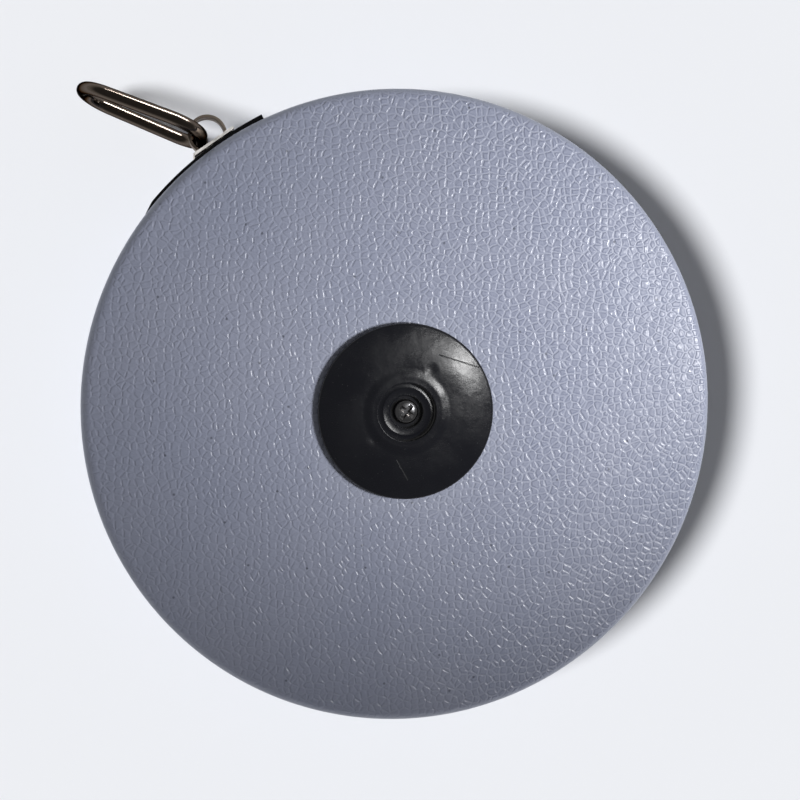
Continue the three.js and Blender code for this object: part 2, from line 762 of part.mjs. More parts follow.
const crankGroup = group(reelGroup, -pinOffset, 0, armThickness / 2);
piece(crankGroup, 'crank_pin', crankPin(), steel());
piece(crankGroup, 'crank_arm', crankArm(), blackPlastic());
const knobGroup = group(crankGroup, armLength);
piece(knobGroup, 'crank_knob', crankKnob(), blackPlastic());
piece(knobGroup, 'knob_rivet', knobRivet(), steel());

const tapeEndGroup = group(tape, 0, 0, seamZ);
piece(tapeEndGroup, 'tape_lead', tapeLead(), tapeYellow());
piece(tapeEndGroup, 'end_clip', endClip(), nickel());
acrossTape(clipRivet).forEach((rivet, index) => {
  piece(tapeEndGroup, `end_rivet_${index + 1}`, shaped(rivet), steel());
});

const clipGroup = group(tapeEndGroup);
clipGroup.rotation.z = clipAngle;
const heldGroup = group(clipGroup, plateOuter + ringReach, ringAside, -ringDrop);
heldGroup.rotation.z = ringAngle - clipAngle;
const rollGroup = group(heldGroup);
rollGroup.rotation.x = ringRoll;
const ring = piece(rollGroup, 'pull_ring', pullRing(), nickel());
ring.rotation.y = ringDroop;

export default tape;
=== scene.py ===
"""A round closed-case measuring tape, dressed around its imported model. Sizes are in millimetres."""

import math

import bmesh
import bpy
import numpy as np
from mathutils import Matrix, Vector


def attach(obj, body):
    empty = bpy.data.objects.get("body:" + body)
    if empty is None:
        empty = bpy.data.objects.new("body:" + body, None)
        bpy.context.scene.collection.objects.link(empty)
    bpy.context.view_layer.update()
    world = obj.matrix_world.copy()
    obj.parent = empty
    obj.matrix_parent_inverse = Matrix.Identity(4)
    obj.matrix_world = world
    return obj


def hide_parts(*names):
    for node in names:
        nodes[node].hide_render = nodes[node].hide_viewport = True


MM = 0.001
QUARTER = math.pi / 2

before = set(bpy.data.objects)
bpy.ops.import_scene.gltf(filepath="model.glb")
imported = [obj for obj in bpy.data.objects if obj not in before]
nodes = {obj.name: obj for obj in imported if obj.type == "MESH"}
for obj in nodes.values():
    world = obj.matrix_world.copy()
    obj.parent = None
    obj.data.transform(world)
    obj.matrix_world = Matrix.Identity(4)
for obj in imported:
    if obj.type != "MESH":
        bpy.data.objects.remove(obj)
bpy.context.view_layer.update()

# Clearances
SEAT_GAP = 0.3
RUN_GAP = 0.4
OVERRUN = 1.0

# Case
CASE_RADIUS = 72.0
SHELL_WALL = 2.2
EDGE_RADIUS = 2.5
DOME_DROP = 2.5
FLAT_RADIUS = 25.0
HALF_DEPTH = 13.7
SEAM_Z = 17.5
SEAM_BREAK = 0.25
LIP_HEIGHT = 1.5
LIP_THICKNESS = 0.9
SHELL_COLUMNS = 288
DOME_ROWS = 24
FLAT_ROWS = 6
EDGE_ROWS = 8
SWELL = 0.05
SWELL_ALONG = (0.11, 0.6)  # radians per millimetre, and at the middle
SWELL_UP = (0.09, -0.4)
SWELL_SLANT = (0.05, -0.17)  # radians per millimetre along X and Y
SLANT_SHARE = 0.6

# Case screws
SCREW_ANGLES = [math.radians(angle) for angle in (65, 155, 245, 335)]
BOSS_RADIUS = 2.7
BOSS_BITE = 0.3
SCREW_RADIUS = 1.1
SCREW_HEAD_RADIUS = 2.1
SCREW_HEAD_HEIGHT = 1.4
SCREW_SEAT_DEPTH = 1.9
SCREW_LENGTH = 15.5
SCREW_TIP_GAP = 0.6
HEAD_FOOT_SHARE = 0.94
HEAD_EDGE_SHARE = 0.08
HEAD_SIDE_SHARE = 0.25
HEAD_START_SHARE = 0.12
HEAD_ROUNDNESS = 0.62
HEAD_STEPS = 10
HEAD_SOFT_SHARE = 0.03
CROSS_REACH_SHARE = 0.85
CROSS_WIDTH_SHARE = 0.42
CROSS_FLOOR_SHARE = 0.2
CROSS_TOP_SHARE = 1.25
CROSS_FOOT_SHARE = 0.5

# Hubs
BACK_HOLE_RADIUS = 14.9
FRONT_HOLE_RADIUS = 22.39
CAP_RADIUS = 19.8
CAP_SEAT_Z = 31.6
CAP_EDGE = 0.8
CAP_CHAMFER = 0.5
CAP_RISE = 2.5
CAP_LIP_RISE = 0.3
CAP_LIP_WIDTH = 0.9
CAP_LIP_SLOPE = 1.6
CAP_BLEND = 2.3
CAP_FLAT = 0.3
CAP_RECESS_RADIUS = 6.5
CAP_RECESS_DEPTH = 1.4
CAP_BORE_RADIUS = 3.7
CAP_BORE_DEPTH = 1.2
CAP_BOSS_DEPTH = 0.9
CAP_BOSS_RADIUS = 9.4
CAP_COLUMNS = 240
CAP_ROWS = 60
CAP_TURN_SHARE = 0.8
CAP_TURN_STEPS = 5
HUB_SCREW_TURN = 0.9
HUB_SCREW_RADIUS = 1.3
HUB_HEAD_RADIUS = 2.75
HUB_HEAD_HEIGHT = 1.3
HUB_SCREW_LENGTH = 12.0

# Hub disc and crank
DISC_THICKNESS = 3.4
DISC_RADIUS = 24.49
ARM_WIDTH = 11.0
PIN_OFFSET = 15.5
PIN_RADIUS = 0.8
PIN_BITE = 2.8
KNOB_X = 10.5
KNOB_RADIUS = 4.6
KNOB_LENGTH = 11.0
KNOB_CHAMFER = 0.7
WELL_RADIUS = 4.9
WELL_END_X = 13.19
WELL_WALL = 0.9
FRONT_JOURNAL_RADIUS = 20.49
SPIGOT_RADIUS = 19.09
SPIGOT_LENGTH = 3.8
STEM_RADIUS = 4.2
STEM_SIDES = 6
JOURNAL_TOP = 7.2
STEM_TOP = 30.4
SOFT_EDGE = 0.3
RIVET_RADIUS = 1.2
RIVET_HEAD_RADIUS = 2.4
RIVET_HEAD_HEIGHT = 0.9
KNOB_BORE_DEPTH = 1.6

# Mouth
CLIP_ANGLE = math.radians(125)
MOUTH_HALF = 8.0
MOUTH_REAR_HALF = 8.7
MOUTH_AHEAD = 12.0
MOUTH_BEHIND = 22.4
MOUTH_PROUD = 1.1
MOUTH_TAIL = 0.7
MOUTH_TURN_SHARE = 0.1
MOUTH_DEPTH = 2.2
MOUTH_REAR_END = 1.2
MOUTH_STEPS = 48
MOUTH_SOFT = 0.3
SLOT_HALF = 6.9
TAPE_WIDTH = 13.0
TAPE_THICKNESS = 0.4
PACK_RADIUS = 61.9
TAPE_MARKS = [(2.0, 0.25, 2.2), (10.0, 0.4, 4.4), (50.0, 0.6, 6.5)]  # spacing, width and reach from the edge

# Clip and ring
CLIP_WIDTH = 10.7
CLIP_HEIGHT = 16.0
CLIP_SHEET = 0.6
CLIP_TONGUE = 9.0
EYE_RADIUS = 4.35
EYE_RISE = 2.3
EYE_LENGTH = 6.5
EYE_STEPS = 64
CLIP_SOFT = 0.12
CLIP_RIVET_RADIUS = 0.8
CLIP_RIVET_HEAD_RADIUS = 1.5
CLIP_RIVET_HEAD = 0.5
CLIP_RIVET_OFFSET = 3.5
CLIP_RIVET_INSET = 4.5
CLIP_RIVET_STEPS = 6
WIRE_RADIUS = 1.5
RING_WIDTH = 20.0
RING_END_WIDTH = 16.4
RING_LENGTH = 31.3
RING_CORNER = 6.0
RING_ANGLE = math.radians(157.6)
RING_ROLL = math.radians(7.5)
RING_DROOP = math.radians(5)
RING_REACH = 2.3
RING_ASIDE = 1.5
RING_DROP = 0.3
WIRE_SIDES = 32
RING_HELD_STEPS = 4
RING_CORNER_STEPS = 20
RING_BAR_STEPS = 16
RING_END_STEPS = 40

# Roundness, and the angles in degrees from which an edge is softened or sharp
DISC_COLUMNS = 144
KNOB_COLUMNS = 72
ROD_COLUMNS = 48
RIVET_COLUMNS = 32
ARM_STEPS = 32
SLOT_STEPS = 24
KNOB_STEPS = 6
RIVET_STEPS = 7
SEGMENTS = 3
FEW_SEGMENTS = 2
BEVEL_ANGLE = 30
FINE_ANGLE = 40
HUB_ANGLE = 50
SHARP_ANGLE = 35

# Sizes that follow
INNER_RADIUS = CASE_RADIUS - SHELL_WALL
LIP_OUTER = INNER_RADIUS + LIP_THICKNESS
SCREW_CIRCLE = INNER_RADIUS - BOSS_RADIUS + BOSS_BITE
SCREW_SEAT = -HALF_DEPTH + DOME_DROP + SCREW_SEAT_DEPTH
MOUTH_START = CLIP_ANGLE - MOUTH_AHEAD / CASE_RADIUS
MOUTH_END = CLIP_ANGLE + MOUTH_BEHIND / CASE_RADIUS
MOUTH_AT_CLIP = CASE_RADIUS + MOUTH_PROUD * MOUTH_BEHIND / (MOUTH_AHEAD + MOUTH_BEHIND)
PLATE_INNER = MOUTH_AT_CLIP + SEAT_GAP
PLATE_OUTER = PLATE_INNER + CLIP_SHEET
EYE_CENTRE = (PLATE_INNER + PLATE_OUTER) / 2 + EYE_RISE
TAPE_OFFSET = PACK_RADIUS + SEAT_GAP + TAPE_THICKNESS / 2
LEAVE_ANGLE = math.acos(TAPE_OFFSET / MOUTH_AT_CLIP)
RUN_ANGLE = CLIP_ANGLE - LEAVE_ANGLE - QUARTER
LEAF_OFFSET = TAPE_THICKNESS / 2 + SEAT_GAP + CLIP_SHEET / 2
SLOT_THICKNESS = 2 * (LEAF_OFFSET + CLIP_SHEET / 2 + SEAT_GAP + CLIP_RIVET_HEAD + RUN_GAP)
LEAD_LENGTH = (PLATE_INNER - CLIP_SHEET - TAPE_OFFSET * math.cos(LEAVE_ANGLE)) / math.sin(LEAVE_ANGLE)
ARM_LENGTH = PIN_OFFSET + KNOB_X
CHANNEL_HALF = ARM_WIDTH / 2 + SEAT_GAP
CHANNEL_DEPTH = DISC_THICKNESS + SEAT_GAP
WELL_DEPTH = DISC_THICKNESS + RUN_GAP + KNOB_LENGTH + SEAT_GAP
HUB_SEAT = CAP_SEAT_Z + CAP_RISE + CAP_LIP_RISE - CAP_RECESS_DEPTH - CAP_BORE_DEPTH + SEAT_GAP
RIVET_FOOT = SEAT_GAP - DISC_THICKNESS / 2
KNOB_FOOT = DISC_THICKNESS / 2 + RUN_GAP
KNOB_TOP = KNOB_FOOT + KNOB_LENGTH
RING_HALF = RING_WIDTH / 2 - WIRE_RADIUS
RING_END_BEND = RING_END_WIDTH / 2 - WIRE_RADIUS
RING_END_X = RING_LENGTH - 2 * WIRE_RADIUS - RING_END_BEND


# Meshes

def make_object(name, points, faces):
    mesh = bpy.data.meshes.new(name)
    mesh.from_pydata((np.asarray(points, float) * MM).tolist(), [], faces)
    build = bmesh.new()
    build.from_mesh(mesh)
    loose = [vertex for vertex in build.verts if not vertex.link_faces]
    bmesh.ops.delete(build, geom=loose, context="VERTS")
    bmesh.ops.recalc_face_normals(build, faces=build.faces)
    build.to_mesh(mesh)
    build.free()
    made = bpy.data.objects.new(name, mesh)
    bpy.context.collection.objects.link(made)
    return made


def settle(made):
    """Turns the object's modifiers into its mesh."""
    graph = bpy.context.evaluated_depsgraph_get()
    graph.update()
    settled = bpy.data.meshes.new_from_object(made.evaluated_get(graph))
    made.modifiers.clear()
    made.data = settled
    return made


def combine(made, others, operation):
    for other in others:
        modifier = made.modifiers.new(operation, "BOOLEAN")
        modifier.operation = operation
        modifier.solver = "EXACT"
        modifier.object = other
    settle(made)
    for other in others:
        bpy.data.objects.remove(other)
    return made


def bevel(made, width, segments=SEGMENTS, angle=BEVEL_ANGLE):
    modifier = made.modifiers.new("bevel", "BEVEL")
    modifier.width = width * MM
    modifier.segments = segments
    modifier.limit_method = "ANGLE"
    modifier.angle_limit = math.radians(angle)
    return settle(made)


def soften(made):
    made.data.shade_smooth()
    made.data.set_sharp_from_angle(angle=math.radians(SHARP_ANGLE))


def move(made, matrix):
    """Places the object's mesh, with the matrix in millimetres."""
    scaled = matrix.copy()
    scaled.translation *= MM
    made.data.transform(scaled)
    return made


def finish(made, material, body, slot, *replaced):
    made.data.materials.clear()
    made.data.materials.append(material)
    soften(made)
    even = made.modifiers.new("even_faces", "WEIGHTED_NORMAL")
    even.keep_sharp = True
    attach(made, body)
    if replaced:
        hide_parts(*replaced)
    return made


def columns(count):
    return np.arange(count) * 2 * math.pi / count


def turned(name, profile, angles, window=None, shift=None):
    """Closed solid from a closed loop of (radius, height) turned round Z, also one that starts and ends on
    the axis. The window is the first row, last row, first column and last column of a part left open."""
    loop = [tuple(point) for point in profile]
    on_axis = loop[0][0] == 0
    count = len(loop)
    radii, heights = np.array(loop).T
    ring = np.stack([np.outer(radii, np.cos(angles)), np.outer(radii, np.sin(angles))], -1)
    tall = np.repeat(heights[:, None], len(angles), 1)[..., None]
    points = np.concatenate([ring, tall], -1)
    if shift is not None:
        points = shift(points)
    total = len(angles)
    faces = []

    def at(row, column):
        return (row % count) * total + column % total

    open_rows = range(window[0], window[1]) if window else ()
    for column in range(total):
        in_window = window is not None and window[2] <= column < window[3]
        for row in range(count - 1 if on_axis else count):
            if in_window and row in open_rows:
                continue
            quad = [at(row, column), at(row, column + 1), at(row + 1, column + 1), at(row + 1, column)]
            if on_axis and row == 0:
                quad = [at(0, 0)] + quad[2:]
            elif on_axis and row == count - 2:
                quad = quad[:2] + [at(count - 1, 0)]
            faces.append(quad)
        if in_window:
            first, last = window[:2]
            faces.append([at(first, column), at(first, column + 1), at(last, column + 1), at(last, column)])
    if window:
        for column in window[2:]:
            faces.append([at(row, column) for row in range(window[0], window[1] + 1)])
    return make_object(name, points.reshape(-1, 3), faces)


def rod(radius, low, high, steps=ROD_COLUMNS):
    return turned("rod", [(0, low), (radius, low), (radius, high), (0, high)], columns(steps))


def prism(name, outline, low, high):
    """Closed solid over a flat outline of (x, y) points."""
    flat = np.asarray(outline, float)
    count = len(flat)
    points = np.concatenate([np.c_[flat, np.full(count, low)], np.c_[flat, np.full(count, high)]])
    sides = [[i, (i + 1) % count, count + (i + 1) % count, count + i] for i in range(count)]
    faces = [list(range(count)), list(range(count, 2 * count)), *sides]
    return make_object(name, points, faces)


def block(low, high):
    outline = [(low[0], low[1]), (high[0], low[1]), (high[0], high[1]), (low[0], high[1])]
    return prism("block", outline, low[2], high[2])


def arc(radius, start, end, steps, centre=(0, 0)):
    turn = np.linspace(start, end, steps + 1)
    return [(centre[0] + radius * math.cos(a), centre[1] + radius * math.sin(a)) for a in turn]


def slot_bar(from_x, to_x, radius, low, high):
    outline = arc(radius, -QUARTER, QUARTER, SLOT_STEPS, (to_x, 0))
    outline += arc(radius, QUARTER, 3 * QUARTER, SLOT_STEPS, (from_x, 0))
    return prism("bar", outline, low, high)


def rotation(angle, axis):
    return Matrix.Rotation(angle, 4, axis)


def place(x=0.0, y=0.0, z=0.0):
    return Matrix.Translation((x, y, z))


# Materials. Texture scales are per metre, and a span is where a change starts and where it ends.

RISING = (0.0, 1.0)
FALLING = (1.0, 0.0)
MIX_INPUTS = (0, 6, 7)
MIX_OUTPUT = 2
COARSE_DETAIL = 1.0
MIDDLE_DETAIL = 3.0
FINE_DETAIL = 4.0
ROUGH_SHARE = 0.7


def mm(*lengths):
    """Millimetres as the metres that the nodes use."""
    return tuple(length * MM for length in lengths)


def opaque(tone, strength=1.0):
    return tuple(strength * value for value in tone) + (1,)


class Nodes:
    """Short calls for building a material's nodes."""

    def __init__(self, name):
        self.material = bpy.data.materials.new(name)
        self.material.use_nodes = True
        self.tree = self.material.node_tree
        self.shader = self.tree.nodes["Principled BSDF"]

    def add(self, kind, inputs=None, **settings):
        node = self.tree.nodes.new(kind)
        for key, value in settings.items():
            setattr(node, key, value)
        for key, value in (inputs or {}).items():
            self.feed(node.inputs[key], value)
        return node

    def feed(self, socket, value):
        if isinstance(value, bpy.types.NodeSocket):
            self.tree.links.new(value, socket)
        else:
            socket.default_value = value

    def surface(self, name, value):
        self.feed(self.shader.inputs[name], value)

    def math(self, operation, *values):
        node = self.add("ShaderNodeMath", operation=operation)
        for socket, value in zip(node.inputs, values):
            self.feed(socket, value)
        return node.outputs[0]

    def times(self, first, *others):
        product = first
        for other in others:
            product = self.math("MULTIPLY", product, other)
        return product

    def vector(self, operation, first, second, output=0):
        return self.add("ShaderNodeVectorMath", {0: first, 1: second}, operation=operation).outputs[output]

    def dot(self, first, second):
        return self.vector("DOT_PRODUCT", first, second, "Value")

    def scaled(self, vector, factor):
        return self.add("ShaderNodeVectorMath", {0: vector, "Scale": factor}, operation="SCALE").outputs[0]

    def ramp(self, value, span, result=RISING):
        """Changes smoothly from the first result to the second as the value crosses the span."""
        node = self.add("ShaderNodeMapRange", interpolation_type="SMOOTHSTEP")
        keys = ("Value", "From Min", "From Max", "To Min", "To Max")
        for key, item in zip(keys, (value, *span, *result)):
            self.feed(node.inputs[key], item)
        return node.outputs[0]

    def mix(self, share, first, second):
        node = self.add("ShaderNodeMix", data_type="RGBA")
        for index, value in zip(MIX_INPUTS, (share, first, second)):
            self.feed(node.inputs[index], value)
        return node.outputs[MIX_OUTPUT]

    def noise(self, place_at, scale, detail=2.0, roughness=0.5, output="Fac"):
        inputs = {"Vector": place_at, "Scale": scale, "Detail": detail, "Roughness": roughness}
        return self.add("ShaderNodeTexNoise", inputs).outputs[output]

    def bump(self, height, distance, normal=None, strength=1.0):
        """Relief of a height given in millimetres."""
        inputs = {"Height": height, "Distance": distance * MM, "Strength": strength}
        if normal is not None:
            inputs["Normal"] = normal
        return self.add("ShaderNodeBump", inputs).outputs[0]

    def cell_edges(self, place_at, scale):
        inputs = {"Vector": place_at, "Scale": scale, "Randomness": CELL_RANDOMNESS}
        node = self.add("ShaderNodeTexVoronoi", inputs, feature="DISTANCE_TO_EDGE", voronoi_dimensions="2D")
        return node.outputs["Distance"]

    def length(self, vector):
        return self.add("ShaderNodeVectorMath", {0: vector}, operation="LENGTH").outputs["Value"]

    def minus(self, vector, point):
        """From a point, given in millimetres, to the place."""
        return self.vector("SUBTRACT", vector, (*mm(*point), 0))

    def distance(self, vector, point):
        return self.length(self.minus(vector, point))

    def line_distance(self, vector, first, last):
        """To the nearest place on a straight line between two points in millimetres."""
        reach = (*mm(last[0] - first[0], last[1] - first[1]), 0)
        start = self.minus(vector, first)
        squared = reach[0] ** 2 + reach[1] ** 2
        share = self.add("ShaderNodeMath", {0: self.dot(start, reach), 1: squared},
                         operation="DIVIDE", use_clamp=True)
        foot = self.scaled(reach, share.outputs[0])
        return self.length(self.vector("SUBTRACT", start, foot))

    def flat_where(self):
        split = self.add("ShaderNodeSeparateXYZ", {"Vector": self.where()})
        return self.add("ShaderNodeCombineXYZ", {"X": split.outputs[0], "Y": split.outputs[1]}).outputs[0]

    def where(self):
        return self.add("ShaderNodeTexCoord").outputs["Object"]


# Leather grain. Sizes are in millimetres, and the spans of edges and specks in parts of a cell.

CELL_SCALE = 620.0
CELL_RANDOMNESS = 0.88
PEBBLE_SPAN = (0.03, 0.24)
GLINT_NET_SPAN = (0.05, 0.15)
GROOVE_SHADE_START = (0.11, 0.17)
GROOVE_SHADE_END = (0.19, 0.33)
PORE_SCALE = 1300.0
PORE_SPAN = (0.0, 0.22)
PORE_SHARE = 0.06
WARP_SCALE = 420.0
WARP_REACH = 0.9
WARP_MIDDLE = 0.5
PATCH_SCALE = 520.0
PATCH_SPAN = (0.34, 0.58)
PATCH_SHARES = (0.45, 1.0)
# Painted light: the painted glints and groove shade grow stronger towards +X.
CLEAR_HEADING = (1.0, 0.25, 0)
CLEAR_SPAN = (-30.0, 45.0)
CLEAR_SHARES = (0.15, 1.0)
WANDER_SCALE = 40.0
WANDER_SPAN = (0.3, 0.7)
WANDER_REACH = 10.0
RIM_START = 1.6
RIM_SHADE_START = 1.4
RIM_END = 0.4
GRAIN_HEIGHT = 0.1
PLUG_PLACE = (-45.2, -41.2)
PLUG_EDGE = (3.8, 4.2)
PLUG_HEIGHT = 0.06
UNEVEN_SCALE = 70.0
UNEVEN_HEIGHT = 0.35
UNEVEN_SHARE = 0.5
PAINTED_HALO_SPAN = (19.0, 27.0)
SPECK_SCALE = 62.0
SPECK_SPAN = (0.010, 0.024)
SPECK_SHARES = (0.6, 0.0)
CLOUD_SCALE = 30.0
LEATHER_TONES = ((0.300, 0.330, 0.445, 1), (0.362, 0.382, 0.482, 1))
# The next eight values paint light: groove shade, glints along the cells' edges, a highlight round the hub
# and shade on the rim.
GROOVE_SHADE_TONE = (0.17, 0.19, 0.29, 1)
GROOVE_SHADE_SHARE = 0.62
PAINTED_GLINT_TONE = (0.56, 0.59, 0.70, 1)
PAINTED_GLINT_SHARE = 0.36
PAINTED_HALO_TONE = (0.55, 0.58, 0.68, 1)
PAINTED_HALO_SHARE = 0.18
RIM_SHADE_TONE = (0.22, 0.25, 0.31, 1)
RIM_SHADE_SHARE = 0.35
SPECK_TONE = (0.05, 0.055, 0.07, 1)
SHEEN_SCALE = 300.0
SHEEN_SPAN = (0.2, 0.8)
LEATHER_ROUGHNESS = (0.27, 0.40)
LEATHER_SPECULAR = 0.42


def warped(n, flat):
    """The place pushed to and fro a little, so that the cells' edges bend."""
    wobble = n.noise(flat, WARP_SCALE, output="Color")
    push = n.vector("ADD", wobble, (-WARP_MIDDLE,) * 3)
    return n.vector("ADD", flat, n.scaled(push, WARP_REACH * MM))


def painted_light_side(n, flat):
    """The painted glints and groove shade show more clearly towards +X, where the light falls."""
    wander = n.ramp(n.noise(flat, WANDER_SCALE), WANDER_SPAN, mm(-WANDER_REACH, WANDER_REACH))
    return n.ramp(n.math("ADD", n.dot(flat, CLEAR_HEADING), wander), mm(*CLEAR_SPAN), CLEAR_SHARES)


def leather_relief(n, flat, edge, pores, even):
    height = n.math("ADD", n.ramp(edge, PEBBLE_SPAN), n.times(n.ramp(pores, PORE_SPAN), PORE_SHARE))
    grain = n.bump(n.times(height, even), GRAIN_HEIGHT)
    plug = n.ramp(n.distance(flat, PLUG_PLACE), mm(*PLUG_EDGE))
    plugged = n.bump(plug, PLUG_HEIGHT, grain)
    return n.bump(n.noise(n.where(), UNEVEN_SCALE, MIDDLE_DETAIL), UNEVEN_HEIGHT, plugged, UNEVEN_SHARE)


def leather_tone(n, flat, edge, painted_share, rim):
    """Painted light over the plastic's tone: pale lines between the cells are painted glints, with a dark
    line inside each as painted groove shade; a pale halo round the hub is a painted highlight and the darker
    rim is painted shade. A few dark specks are the plastic's own."""
    radius = n.length(flat)
    face = n.mix(n.noise(flat, CLOUD_SCALE), *LEATHER_TONES)
    # Painted groove shade: a dark line just inside each cell's edge.
    outline = n.times(n.ramp(edge, GROOVE_SHADE_START), n.ramp(edge, GROOVE_SHADE_END, FALLING), painted_share)
    groove_shaded = n.mix(n.times(outline, GROOVE_SHADE_SHARE), face, GROOVE_SHADE_TONE)
    # Painted glints: pale lines along the cells' edges.
    glint_net = n.times(n.ramp(edge, GLINT_NET_SPAN, FALLING), painted_share)
    glinted = n.mix(n.times(glint_net, PAINTED_GLINT_SHARE), groove_shaded, PAINTED_GLINT_TONE)
    # Painted highlight: a pale halo round the hub.
    halo_highlight = n.times(n.ramp(radius, mm(*PAINTED_HALO_SPAN), FALLING), PAINTED_HALO_SHARE)
    lit = n.mix(halo_highlight, glinted, PAINTED_HALO_TONE)
    # Painted shade: the rim darkens where its edge rounds over.
    rim_shade = n.times(n.ramp(radius, mm(CASE_RADIUS - RIM_SHADE_START, CASE_RADIUS - RIM_END)), RIM_SHADE_SHARE)
    toned = n.mix(rim_shade, lit, RIM_SHADE_TONE)
    dots = n.add("ShaderNodeTexVoronoi", {"Vector": flat, "Scale": SPECK_SCALE}, voronoi_dimensions="2D")
    speck = n.times(n.ramp(dots.outputs["Distance"], SPECK_SPAN, SPECK_SHARES), rim)
    return n.mix(speck, toned, SPECK_TONE)


def leather(name):
    """Moulded plastic with a leather grain on its faces and a smooth rim."""
    n = Nodes(name)
    flat = n.flat_where()
    place_at = warped(n, flat)
    edge = n.cell_edges(place_at, CELL_SCALE)
    pores = n.cell_edges(place_at, PORE_SCALE)
    kept = n.ramp(n.noise(flat, PATCH_SCALE, COARSE_DETAIL), PATCH_SPAN, PATCH_SHARES)
    rim = n.ramp(n.length(flat), mm(CASE_RADIUS - RIM_START, CASE_RADIUS - RIM_END), FALLING)
    painted_share = n.times(kept, painted_light_side(n, flat), rim)
    n.surface("Normal", leather_relief(n, flat, edge, pores, n.times(kept, rim)))
    n.surface("Base Color", leather_tone(n, flat, edge, painted_share, rim))
    n.surface("Roughness", n.ramp(n.noise(flat, SHEEN_SCALE), SHEEN_SPAN, LEATHER_ROUGHNESS))
    n.surface("Specular IOR Level", LEATHER_SPECULAR)
    return n.material


# Black plastic

BLACK_TONE = (0.0075, 0.008, 0.0115, 1)
BLACK_ROUGHNESS = (0.20, 0.33)
BEZEL_ROUGHNESS = (0.2, 0.35)
SCUFF_TONE = (0.10, 0.10, 0.10, 1)
HAIR_STRETCH = (1.0, 9.0, 1.0)
HAIR_TURN = (0, 0, 0.5)
HAIR_SCALE = 900.0
HAIR_HEIGHT = 0.012
HAIR_SHARE = 0.4
HAIR_STRENGTH = 0.9
SMEAR_SCALE = 120.0
SMEAR_SPAN = (0.5, 0.9)
DUST_SCALE = 2600.0
DUST_LIMIT = 0.76
DUST_SHARE = 0.3
SINK_SCALE = 190.0
SINK_HEIGHT = 0.35
SINK_SHARE = 0.4
DENT_SPAN = (0.0, 1.9)
DENT_HEIGHT = 0.12
SCRATCH_SPAN = (0.02, 0.17)
SCRATCH_HEIGHT = 0.06
SCRATCH_SHARES = (0.3, 0.0)
CAP_DENTS = [(5.5, 9.5), (-7.5, -5.9)]
CAP_SCRATCHES = [((7.3, 12.7), (16.4, 9.8)), ((-2.3, -10.7), (0.2, -15.2))]


def satin_black(name, roughness=BLACK_ROUGHNESS, dents=(), scratches=()):
    """Moulded black plastic, handled and finely scratched. Dents and scratches are places in millimetres."""
    n = Nodes(name)
    where = n.where()
    flat = n.flat_where()
    stretched = n.add("ShaderNodeMapping", {"Vector": where, "Scale": HAIR_STRETCH, "Rotation": HAIR_TURN})
    hair = n.noise(stretched.outputs[0], HAIR_SCALE, FINE_DETAIL, ROUGH_SHARE)
    dust = n.math("GREATER_THAN", n.noise(where, DUST_SCALE, COARSE_DETAIL), DUST_LIMIT)
    shade = n.mix(n.times(dust, DUST_SHARE), BLACK_TONE, SCUFF_TONE)
    low = n.bump(n.noise(where, SINK_SCALE, MIDDLE_DETAIL), SINK_HEIGHT, strength=SINK_SHARE)
    for spot in dents:
        low = n.bump(n.ramp(n.distance(flat, spot), mm(*DENT_SPAN)), DENT_HEIGHT, low)
    for first, last in scratches:
        line = n.ramp(n.line_distance(flat, first, last), mm(*SCRATCH_SPAN))
        low = n.bump(line, SCRATCH_HEIGHT, low)
        shade = n.mix(n.ramp(line, RISING, SCRATCH_SHARES), shade, SCUFF_TONE)
    smear = n.math("ADD", n.noise(where, SMEAR_SCALE, MIDDLE_DETAIL), n.times(hair, HAIR_SHARE))
    n.surface("Base Color", shade)
    n.surface("Roughness", n.ramp(smear, SMEAR_SPAN, roughness))
    n.surface("Normal", n.bump(hair, HAIR_HEIGHT, low, HAIR_STRENGTH))
    return n.material


# Metal

NICKEL_TONE = (0.125, 0.102, 0.086)
NICKEL_ROUGHNESS = 0.14
NICKEL_EDGE = 0.1
CLIP_TONE = (0.80, 0.78, 0.75)
CLIP_ROUGHNESS = 0.42
CLIP_EDGE = 0.9
# Painted shade on the clip's eye, and where it fades in.
EYE_SHADE_TONE = (0.11, 0.09, 0.075)
EYE_SHADE_FADE = (0.1, 0.5)
ZINC_TONE = (0.25, 0.25, 0.26)
ZINC_ROUGHNESS = 0.30
ZINC_EDGE = 0.8
EDGE_WARMTH = (1.0, 0.92, 0.84)
RUBBED_SCALE = 220.0
RUBBED_SPAN = (0.3, 0.75)
RUBBED_SHARES = (0.7, 1.5)
SPOT_SCALE = 900.0
SPOT_SPAN = (0.60, 0.72)
SPOT_SHARE = 0.4
SPOT_DARKNESS = 0.55
DRAWN_SCALE = 1500.0
DRAWN_HEIGHT = 0.01
DRAWN_SHARE = 0.25


